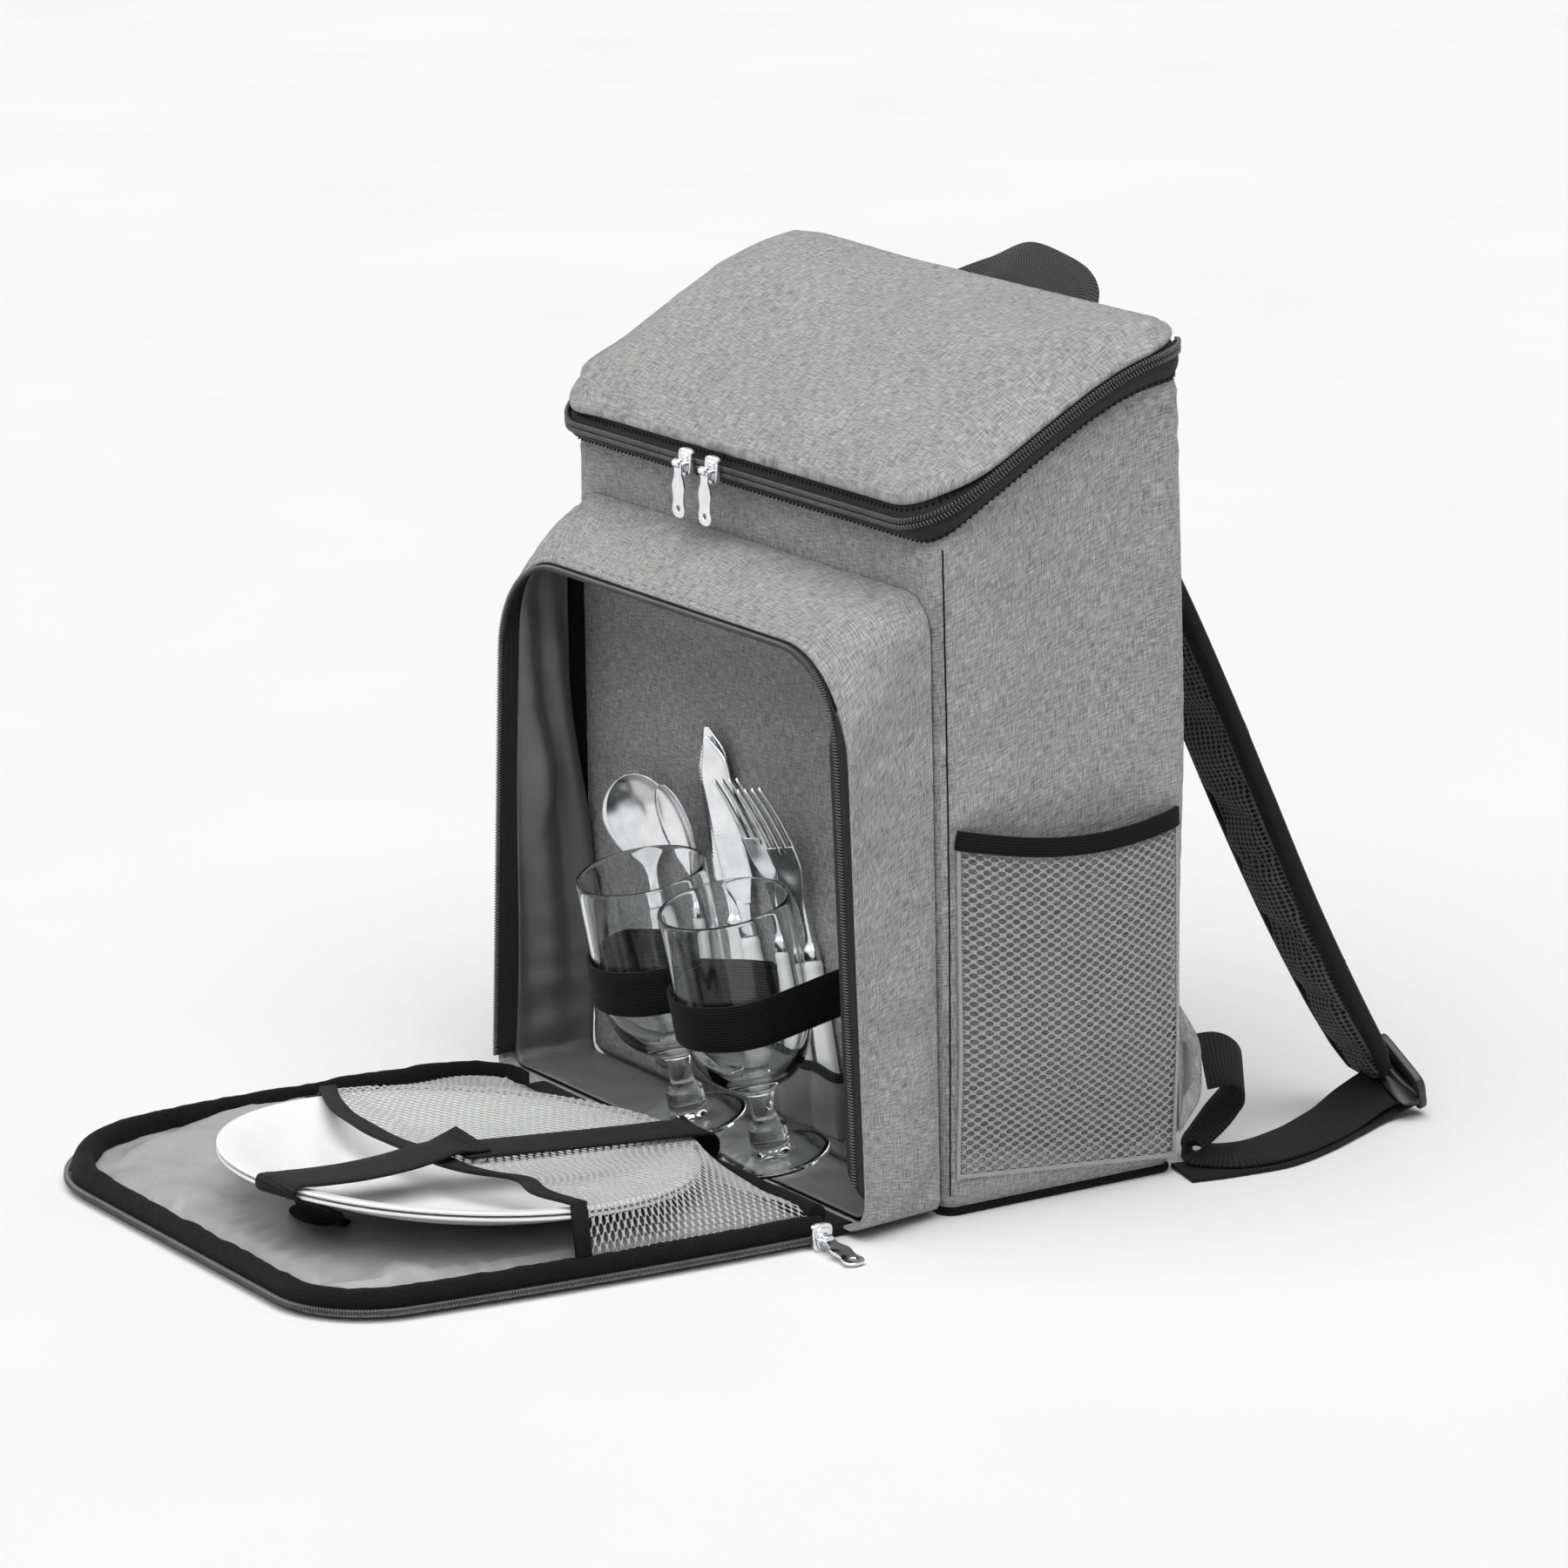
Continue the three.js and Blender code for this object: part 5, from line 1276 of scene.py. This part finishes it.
def make_flap_net():
    wide, long = FLAP_NET
    # The threads are spread evenly over the net's rise and fall, from border to border
    ys, shares = np.linspace(NET_NEAR, -258, 48), np.linspace(0, 1, 161)
    table = []
    for y in ys:
        left, other = net_bounds(y)
        x = np.linspace(left, other, 240)
        z = net_height(x, np.full(240, y))
        run = np.concatenate([[0], np.cumsum(np.hypot(np.diff(x), np.diff(z)))])
        table.append(np.interp(shares * run[-1], run, x))
    table = np.array(table)

    def spread_x(y, share):
        row = np.clip((y - ys[0]) / (ys[1] - ys[0]), 0, len(ys) - 1.001)
        col = np.clip(share * 160, 0, 159.999)
        j, i = row.astype(int), col.astype(int)
        here = lerp(table[j, i], table[j, i + 1], col - i)
        return lerp(here, lerp(table[j + 1, i], table[j + 1, i + 1], col - i), row - j)

    def surface(s, t):
        y = lerp(NET_NEAR, net_free(s - wide / 2) - 2, t / long)
        x = spread_x(y, s / wide)
        y = lerp(NET_NEAR, net_free(x) - 2, t / long)
        z = net_height(x, y) + 0.5
        P = np.stack([x, y, z], -1)
        P[:, 2] += 0.35 * fuzz(P * [1, 1, 0], 0.05, 3)
        return P
    shape = Shape()
    lattice(shape, surface, FLAP_NET, FLAP_HOLE)
    # The flap's net takes the lighter copy of the yarn, painted light
    net = shape.make("flap_net", NET_PAINTED_LIGHT, "flap_mesh", "net", thick=THREAD, rounded=False)

    left, other = net_bounds(-214)[0], net_bounds(-230)[1]
    x = np.linspace(left, other, 120)
    y = net_free(x) - 4.2
    z = net_height(x, y) + 1.0
    at = np.stack([x, y, z], -1)
    at[:, 2] += 0.5 * fuzz(at, 0.04, 5)
    tilt = 0.35 * fuzz(at, 0.03, 7)
    across = np.stack([np.zeros_like(x), np.ones_like(x), tilt], -1)
    strap(at, across, 7.6, 1.7).make("flap_net_edge", GROSGRAIN, "flap_mesh_binding", "black_fabric")


def plate_strap():
    far, near = PLATE["y"] - PLATE["radius"], PLATE["y"] + PLATE["radius"]

    def over(y, lift, shift=0.0, a=(1, 0, 0)):
        lane = 46 + 9 * float(smooth(-250 - y, 0, 84))
        return (lane + shift, y, float(rim_plane(y)) + lift, *a)
    # The far half comes up round the plates' rim, and its sewn end lifts a little off the near half
    rim = (0.97, 0.25, 0)
    rows = [(24, -294, 13.6, 1, 0, 0), (30, -299, 16, 1, 0, 0), (36.5, -304.5, 21, *rim),
            (43, -311, 25.4, *rim), (49.5, -321.5, 32.4, *rim), (53.5, -329, 35, *rim),
            over(far + 2.2, -2.4, -0.5, rim), over(far + 2.2, 0.6, 0, rim), over(far + 5, 2.2, 0, rim),
            over(far + 13, 2.2), over(-310, 1.9), over(-292, 1.8),
            over(-270, 3.2), over(-256, 5.2, -1), over(-246, 6.6, -2, (1, 0, 0.06)),
            over(-238, 7.4, -3, (1, 0.1, -0.1)), over(-231, 8.6, -4, (1, 0.2, -0.2))]
    path = curve_through(rows, 90)
    shape = strap(path[:, :3], path[:, 3:], WEB, 1.3)
    side = unit(path[-6, 3:])
    sewn = np.array([path[-6, :3] + side * s for s in np.linspace(-10.5, 10.5, 9)])
    stitches(shape, sewn + [0, 0, 0.75], [0, 0, 1], 2.6)
    obj = shape.make("plate_strap_upper_half", RIBBED, "plate_strap_far", "black_fabric")

    rows = [(40, FLAP["hinge"] + 0.4, 7.4), (40, FLAP["hinge"] - 0.2, 14)]
    rows += [over(y, lift)[:3] for y, lift in ((near + 6, 4.4), (near - 1, 5.2), (-152, 5), (-182, 4.8),
                                               (-217, 4.8), (-242, 4.8))]
    path = curve_through(rows, 60)
    shape = strap(path, [1, 0, 0], WEB, 1.3)
    obj = shape.make("plate_strap_lower_half", RIBBED, "plate_strap_near", "black_fabric")

    # A black oval patch on the satin under the plates' far half
    rows = chaikin([(1, 0), (1.02, 0.5), (0.96, 0.95), (0.6, 1.1), (0.05, 1.15)], 1)
    angle = turns(48)
    P = np.array([[(19 + 16 * k * math.cos(a), far + 38 + 8.5 * k * math.sin(a), 11.5 + h) for a in angle]
                  for k, h in rows])
    capped(P).make("black_oval_patch", BINDING, "strap_patch", "black_fabric")


def make_glasses():
    foot = [(25.4, 0), (25.8, 0.8), (25.2, 1.7), (16, 2.9), (9, 4.4), (7.2, 5.4)]
    stem = [(8.6, 6.2), (8.7, 7.4), (8.5, 13.6), (8.2, 14.8), (6, 16), (5.1, 20), (5.0, 26), (6.4, 31)]
    bowl = [(12, 34.8), (18.6, 38.6), (24.4, 46), (27.6, 57), (29, 72), (29, 100), (29, 118), (28.6, 119.2)]
    outer = chaikin(foot + stem + bowl, 2)
    inner = chaikin([(28, 119.2), (27.6, 118), (27.4, 100), (27.4, 72),
                     (25.8, 58), (22.4, 48.6), (15, 41), (6, 37.8)], 2)
    profile = np.concatenate([[(0, 1.2)], [(12, 0.9), (22, 0)], outer, inner, [(0, 37.3)]])
    for side in ("left", "right"):
        shape = Shape()
        stand = place(GLASS[side], GLASS["y"], GLASS["z"], 0, math.radians(GLASS["lean"]))
        shape.turned(profile, 72, stand)
        goblet = shape.make(f"goblet_{side}", CLEAR, f"glass_{side}", "clear_plastic")
        goblet.visible_shadow = False


def make_bands():
    lean = math.radians(GLASS["lean"])
    across = np.array([0, -math.sin(lean), math.cos(lean)])
    centre = across * BAND["height"] + [0, GLASS["y"], GLASS["z"]]
    radius, wall = BAND["radius"], BAND["wall"]
    for side, (a, b) in (("left", (-43.5, 18.3)), ("right", (24.6, 88))):
        x = GLASS[side]
        angle = np.pi * (1 + np.arange(13) / 12)
        arc = np.stack([x + radius * np.cos(angle), centre[1] + radius * np.sin(angle)], -1)
        path = np.concatenate([[(a, wall), (a, -78)], arc, [(b, -78), (b, wall)]])
        flat = np.column_stack([path, np.zeros(len(path))])
        run = curve_through(flat, 110)[:, :2]
        z = centre[2] + (run[:, 1] - centre[1]) * math.tan(lean)
        # The ends sink behind the glass, but for the one beside the zip
        sinks = 1.0 if side == "left" else run[:, 0] < x
        z = z - 0.38 * np.maximum(run[:, 1] - centre[1], 0) * sinks
        at = np.column_stack([run, z])
        wave = 0.4 * fuzz(at, 0.05, 4)
        shape = strap(at + wave[:, None] * across, across, BAND["width"], BAND["thick"])
        if side == "right":
            fold = np.array([(b + 0.8, -74, centre[2] + s) for s in np.linspace(-9, 9, 8)])
            stitches(shape, fold, [1, 0, 0], 2.4)
        obj = shape.make(f"glass_elastic_{side}", ELASTIC, f"glass_band_{side}", "black_fabric")


def leaf(xs, front, rear, z):
    """One ring of a flat head: along its front, then back along its rear."""
    level = np.full(len(xs), z)
    return np.concatenate([np.stack([xs, front, level], -1), np.stack([xs, rear, level], -1)[::-1]])


def head_grid(rows):
    """A utensil's head from rows of along, half width, thickness, cup depth and forward bend."""
    share = np.linspace(-1, 1, 17)
    rings = []
    for z, w, t, cup, bend in chaikin(rows, 2):
        dish = cup * (1 - share ** 2)
        thin = t * (1 - 0.55 * np.abs(share) ** 3)
        rings.append(leaf(share * w, dish - thin / 2 - bend, dish + thin / 2 - bend, z))
    return np.array(rings)


COLLAR = [(0.4, 4.4, 6, 0, 0), (2.4, 4.7, 6.2, 0, 0), (5, 4.5, 5.8, 0, 0), (7, 3.2, 3.6, 0, 0)]


def blade(shape, matrix):
    """A table knife: rounded tip, straight back and a serrated edge on its left."""
    shape.closed(head_grid([*COLLAR, (12, 3.4, 2.4, 0, 0), (17, 4.2, 2, 0, 0)]), matrix)
    zs = np.arange(15, 91.2, 0.55)
    t = (zs - 15) / 76
    right_edge = 5.2 + 3.2 * smooth(t, 0, 0.16) - 0.6 * t - 8.0 * smooth(t, 0.80, 1.04) ** 1.3
    left_edge = -(4.2 + 4.6 * smooth(t, 0, 0.14) + 0.4 * np.sin(np.pi * t) - 6.6 * smooth(t, 0.74, 1.05))
    saw = np.where(np.arange(len(zs)) % 3 == 0, 0.0, np.where(np.arange(len(zs)) % 3 == 1, 0.75, 0.4))
    left_edge = left_edge + saw * smooth(t, 0.12, 0.18) * (1 - smooth(t, 0.9, 0.98))
    share = np.linspace(0, 1, 9)
    rings = []
    for k, z in enumerate(zs):
        xs = lerp(left_edge[k], right_edge[k], share)
        thick = lerp(0.3, 1.3, smooth(share, 0, 0.45)) * (1 - 0.5 * smooth(share, 0.9, 1))
        bend = 0.4 + 1.8 * t[k]
        rings.append(leaf(xs, -thick / 2 - bend, thick / 2 - bend, z))
    shape.closed(np.array(rings), matrix)


def fork(shape, matrix):
    palm = [(13, 2.4, 2.4, 0, 0.4), (24, 2.6, 2, 0, 1.6), (33, 6, 1.6, 0.4, 3.4), (40, 10.6, 1.4, 1, 5),
            (47, 11.4, 1.3, 1, 7), (51, 11.2, 1.3, 0.8, 8.2)]
    shape.closed(head_grid([*COLLAR, *palm]), matrix)
    for x in (-9.3, -3.1, 3.1, 9.3):
        rows = [(x, -6.4, 48), (x, -10, 58), (x, -14.6, 69), (x * 0.99, -19.6, 78.5)]
        path = curve_through(rows, 14)
        width = lerp(3.5, 1.5, np.linspace(0, 1, 15) ** 0.8)
        shape.merge(strap(path, [1, 0, 0], width, 1.2), matrix)


def spoon(shape, matrix):
    bowl = [(12, 2.4, 2.4, 0, 0.4), (18, 2.8, 2, 0.2, 1.6), (22, 4.6, 1.5, 0.8, 2.6), (27, 11, 1.2, 3, 4.2),
            (36, 16, 1.1, 4.4, 7), (45, 17, 1.1, 4.6, 9), (53, 14.2, 1.1, 3.8, 11), (59, 8.6, 1.1, 1.8, 12.4),
            (61.5, 2.5, 1.0, 0.2, 13)]
    shape.closed(head_grid([*COLLAR, *bowl]), matrix)


def make_cutlery():
    # name, head, collar's x, step forward, lean of the top to the left, turn about its own length, drop
    table = [("spoon_left", spoon, -70, 3.4, 17, 46, 3), ("spoon_right", spoon, -36.8, 1.4, 9, -6, 0),
             ("knife_left", blade, -9, 0, 12, 20, 0), ("knife_right", blade, 6.5, 2.6, 20, 20, 0),
             ("fork_left", fork, 33, 0.6, 13, 2, 0), ("fork_right", fork, 54, 0.6, 14, 0, 0)]
    for name, head, x, step, lean, turn, drop in table:
        spot = Matrix.Translation((x, CUTLERY["y"] - step, CUTLERY["collar"] - drop))
        tilt = Matrix.Rotation(math.radians(-lean), 4, "Y") @ Matrix.Rotation(math.radians(turn), 4, "Z")
        matrix = np.array(spot @ tilt)
        shape = Shape()
        head(shape, matrix)
        shape.make(f"{name}_steel", STEEL, f"{name}_head", "steel")
        rows = chaikin([(0, 4.4, 2.9), (0.03, 5, 3.3), (0.07, 4.6, 3.1), (0.1, 4.9, 3.2), (0.5, 5.7, 3.4),
                        (0.86, 6.3, 3.4), (0.97, 5.2, 2.6), (1, 3.2, 1.5)], 2)
        angle = turns(24)
        bump = np.stack([np.sign(np.cos(angle)) * np.abs(np.cos(angle)) ** 0.7,
                         np.sign(np.sin(angle)) * np.abs(np.sin(angle)) ** 0.8], -1)
        rings = np.array([[(cx * w, cy * t, -s * CUTLERY["handle"]) for cx, cy in bump] for s, w, t in rows])
        capped(rings, matrix).make(f"{name}_grip", WHITE_PLASTIC, f"{name}_handle", "white_plastic")

    left, right_x, low, high = -74, 88, 20.5, 51
    u = np.linspace(0, 1, 150)
    x = lerp(left, right_x, u)
    rows = []
    for v in np.linspace(0, 1, 16):
        pleat = 1.5 * np.abs(np.sin(u * np.pi * 6)) ** 0.8 * (0.6 + 0.5 * v)
        bulge = 3.2 * np.exp(-((x + 58) / 12) ** 2)
        front = CUTLERY["y"] - 6.2 - pleat - bulge - 0.9 * np.sin(np.pi * v)
        edge = smooth(np.minimum(u, 1 - u) * 30, 0, 1)
        y = lerp(BODY["front"] - GAP, front, edge)
        z = lerp(low, high, v) + 0.5 * np.sin(u * np.pi * 12) * v
        rows.append(np.stack([x, y, z], -1))
    P = np.array(rows)
    P[..., 1] -= 0.5 * np.maximum(fuzz(P, 0.06, 4), 0)
    shape = skin(P)
    shape.ribbon(P[-1] - [0, 0, 1.6], [0, 0, 1], 4.2, 1.5, STRAP, 1)
    # The cutlery pocket takes the darkest satin, painted shade
    obj = shape.make("cutlery_satin", [SATIN_DEEPER_PAINTED_SHADE, GROSGRAIN], "cutlery_pocket", "satin", thick=0.6)


def make_side_nets():
    for side, sign in (("left", -1), ("right", 1)):
        def at(u, v, extra=0.0):
            low, high = lerp(17, 7, u), lerp(163, 157, u) - 6 * np.sin(np.pi * u)
            out = BODY["half"] + 2 * smooth(v, 0, 0.4) + 0.9
            out = out + 9 * np.sin(np.pi * u) ** 0.6 * smooth(v, 0, 0.45)
            P = np.stack([out + extra, lerp(-57, 57, u), lerp(low, high, v)], -1)
            slack = smooth(v, 0, 0.3) * np.sin(np.pi * np.clip(u, 0, 1))
            P[..., 0] += 0.8 * fuzz(P * [0, 1, 0.5], 0.035, 6) * slack
            return P * [sign, 1, 1]
        wide, high = SIDE_NET
        shape = Shape()
        lattice(shape, lambda s, t: at(s / wide, t / high, 0.4), SIDE_NET, SIDE_HOLE)
        v = np.linspace(0, 1, 50)
        u = np.linspace(0, 1, 44)
        for edge in (0.008, 0.992):
            shape.ribbon(at(np.full(50, edge), v, 0.5), [0, 1, 0], 1.5, 1.0, STRAP)
        shape.ribbon(at(u, np.full(44, 0.012), 0.5), [0, 0, 1], 1.8, 1.0, STRAP)
        net = shape.make(f"side_net_{side}", NET, f"side_mesh_{side}", "net", thick=THREAD, rounded=False)
        path = at(np.linspace(0, 1, 60), np.full(60, 1.0), 0.6) + [0, 0, 4.4]
        shape = strap(path, [0, 0, 1], 8.4, 2.0)
        shape.make(f"side_elastic_{side}", ELASTIC, f"side_binding_{side}", "black_fabric")


def pad_section():
    """Section of a shoulder pad, crowned between two bound edges, and the finish of each of its columns."""
    inner = [(-0.5, 0.0), (-0.495, 0.2), (-0.46, 0.34), (-0.385, 0.40), (-0.36, 0.34), (-0.3, 0.44),
             (-0.15, 0.5), (0, 0.51), (0.15, 0.5), (0.3, 0.44), (0.36, 0.34), (0.385, 0.40), (0.46, 0.34),
             (0.495, 0.2), (0.5, 0.0)]
    outer = [(s, -t) for s, t in inner[1:-1]][::-1]
    finish = [1, 1, 1, 1, 0, 0, 0, 0, 0, 0, 1, 1, 1, 1, 1, 1, 1, 1, 2, 2, 2, 2, 2, 2, 1, 1, 1, 1]
    return inner + outer, finish


def buckle_shape():
    """Ladder buckle: a rounded frame with two slots, a bowed middle and a lip to lift."""
    tip = Matrix.Rotation(math.radians(28), 4, "Y") @ Matrix.Rotation(math.radians(24), 4, "X")
    matrix = np.array(Matrix.Translation((130, 195.6, 17.8)) @ tip)
    buckle = Shape()
    outline = chaikin([(0, 9.6), (12, 9.6), (16, 8.8), (16.8, 4), (16.6, 0), (16.8, -5), (16, -8.8),
                       (11, -9.6), (0, -9.6)], 2)
    whole = [tuple(p) for p in outline] + [(-x, z) for x, z in outline[::-1][1:-1]]
    slot = ((-13, -1.8), (13, -1.8), (13, 1.8), (-13, 1.8))
    slots = [[(x, z + dz) for x, dz in slot] for z in (-4.6, 4.4)]
    points, faces = flat_plate(whole, slots, 4.2, 1.2)
    buckle.solid(points, faces, matrix)
    angle = turns(20)
    lip, reach = np.array([130, 191.5, 15.6]), np.array([16.5, -3, -8])
    level_across = unit(np.array([0.18, 0.98, 0]))
    over_lip = np.cross(unit(reach), level_across)
    rings = []
    for t, half, thick in chaikin([(0, 7.5, 4.2), (0.4, 7, 4), (0.78, 6, 3.2), (1, 3.8, 1.6)], 2):
        rings.append([lip + t * reach + half * math.cos(a) * level_across + thick / 2 * math.sin(a) * over_lip
                      for a in angle])
    buckle.closed(np.array(rings))
    bow = np.linspace(-16, 16, 24)
    bar = np.stack([bow, -1.5 - 3.6 * np.cos(bow / 16 * math.pi / 2), np.zeros(24)], -1)
    thick = 2.0 + 1.5 * np.cos(bow / 16 * math.pi / 2)
    section = np.stack([np.cos(angle), np.sin(angle)], -1)
    buckle.ribbon(stood(bar, matrix), matrix[:3, 2], thick * 1.3, thick * 0.8, section)
    return buckle


def tab_shape():
    """Folded cloth tab in the side seam."""
    edge = chaikin([(57.8, 18), (57.8, 30), (57.8, 50), (57.8, 66), (57.8, 78), (62, 71), (70, 58),
                    (70.4, 45), (70, 32), (64, 25), (57.8, 18)], 2)
    steps = ((0.0, -1.0), (0.02, -1.2), (0.1, -1.3), (0.55, -1.6), (0.55, 1.5), (0.1, 1.2), (0.02, 1.1),
             (0.0, 0.9))
    rings = []
    for k, dx in steps:
        rings.append([(BODY["half"] + 1.7 + dx, lerp(y, 62, k), lerp(z, 47, k)) for y, z in edge[:-1]])
    rings = np.array(rings)
    rings[..., 0] += 0.5 * fuzz(rings * [0, 1, 1], 0.08, 2)
    return capped(rings)


def make_shoulder_strap():
    rows = [[46, 66.5, 322, 44, 4], [50, 74, 308, 50, 9], [58, 90, 275, 52, 11], [70, 106, 233, 52, 11],
            [82, 120, 190, 52, 11], [94.5, 134.5, 143, 51, 11], [106.5, 151, 94, 47, 11],
            [115.5, 168.5, 52, 43, 11], [120, 178.5, 31, 40, 10], [122, 183.5, 20, 31, 8],
            [122.5, 185.2, 16.4, 19, 5]]
    path = curve_through(rows, 96)
    section, finish = pad_section()
    lie = np.array([1, -0.12, 0.25])
    shape = Shape()
    P = shape.ribbon(path[:, :3], lie, path[:, 3], path[:, 4], section, 0, finish)
    hold = np.zeros(P.shape[:2])
    hold[:3], hold[-6:] = 1, 1
    hold[:, [i for i, f in enumerate(finish) if f == 1]] = 1
    moved = puff(P, grid_faces(*hold.shape, True), hold, 3.0, 0.03, 2.4)
    tuck = fuzz(P * [0.7, 0.7, 1], 0.06, 3)[..., None] * 0.3 * (1 - hold)[..., None]
    shape.points[0] = (moved + tuck * [0, -1, -0.3]).reshape(-1, 3)
    pads = [AIR_MESH, GROSGRAIN, RIBBED]

    # Out of the tab, round a slanted curl, back to the bag's corner, over, and along the floor to the buckle
    web_rows = [[151.6, 71, 48.5, -0.3, 0.18, 0.9], [153.6, 77.5, 49, -0.5, 0.3, 0.8],
                [154.5, 84.5, 47, -0.66, 0.4, 0.6], [153.5, 90, 41.5, -0.72, 0.45, 0.5],
                [150.5, 91.8, 34.5, -0.74, 0.46, 0.46], [147, 88.5, 27, -0.75, 0.47, 0.44],
                [144, 82, 18.5, -0.78, 0.48, 0.4], [141.6, 75.6, 11, -0.83, 0.5, 0.24],
                [141, 72, 7.4, -0.85, 0.53, 0.08], [143, 71.8, 4.9, -0.87, 0.5, 0.05],
                [149, 76.8, 4.3, -0.92, 0.4, 0.08], [156.5, 86.5, 4.5, -0.97, 0.2, 0.12],
                [158, 101, 4.8, -0.96, 0.2, 0.12], [151.5, 126, 5.2, -0.95, 0.2, 0.12],
                [141.5, 150, 6.4, -0.95, 0.16, 0.18], [132, 172, 9.8, -0.94, 0.06, 0.3],
                [128.5, 191.5, 13.8, -0.88, 0, 0.47]]
    web = curve_through(web_rows, 170)
    webbing_shape = strap(web[:, :3], web[:, 3:], WEB, 1.8)

    tail_rows = [[154, 58, 1.05, 1, 0, 0], [157, 71, 1.05, 1, 0, 0], [159, 85, 1.05, 1, 0, 0],
                 [160, 102, 1.05, 1, 0, 0], [153, 126, 1.15, 1, 0, 0], [142.5, 150, 2.6, 1, 0, -0.1],
                 [132.5, 173, 5.2, 0.95, 0, -0.3], [128.5, 194, 9.8, 0.88, 0, -0.47]]
    tail = curve_through(tail_rows, 90)
    tail_shape = strap(tail[:, :3], tail[:, 3:], WEB, 1.7)

    parts = [("shoulder_cushion", shape, pads, "shoulder_pad", "black_fabric"),
             ("strap_ribbon", webbing_shape, RIBBED, "strap_webbing", "black_fabric"),
             ("strap_loose_end", tail_shape, RIBBED, "strap_tail", "black_fabric"),
             ("ladder_buckle", buckle_shape(), BLACK_PLASTIC, "buckle", "black_plastic"),
             ("seam_tab", tab_shape(), MELANGE, "strap_tab", "melange")]
    for name, part, looks, node, slot in parts:
        for side in ("right", "left"):
            own = part if side == "right" else part.mirrored()
            obj = own.make(f"{name}_{side}", looks, f"{node}_{side}", slot)


def make_handle():
    # It leans to the left, with a bend where a hand has folded it
    rows = [[-73, 65.3, 341, -0.3, 0, 1], [-62, 69, 347, -0.2, 0.3, 0.95], [-48, 78, 357.5, -0.1, 0.55, 0.85],
            [-34, 84, 366.5, 0, 0.72, 0.7], [-21, 86.8, 373.6, 0, 0.8, 0.6], [-11, 87.6, 375.6, 0, 0.8, 0.6],
            [10, 87.6, 373.6, 0, 0.8, 0.6], [28, 86.4, 370, 0, 0.78, 0.64], [39, 83, 365.4, 0.1, 0.7, 0.7],
            [48, 77, 357, 0.2, 0.5, 0.85], [60, 69, 347, 0.3, 0.2, 0.95], [73, 65.3, 341, 0.3, 0, 1]]
    path = curve_through(rows, 90)
    shape = strap(path[:, :3], path[:, 3:], 26, 2.2)
    obj = shape.make("carry_loop", HERRINGBONE, "carry_handle", "black_fabric")


make_body()
make_lid()
make_lid_zip()
make_sliders()
make_pocket()
make_flap()
make_plates()
make_flap_net()
plate_strap()
make_glasses()
make_bands()
make_cutlery()
make_side_nets()
make_shoulder_strap()
make_handle()
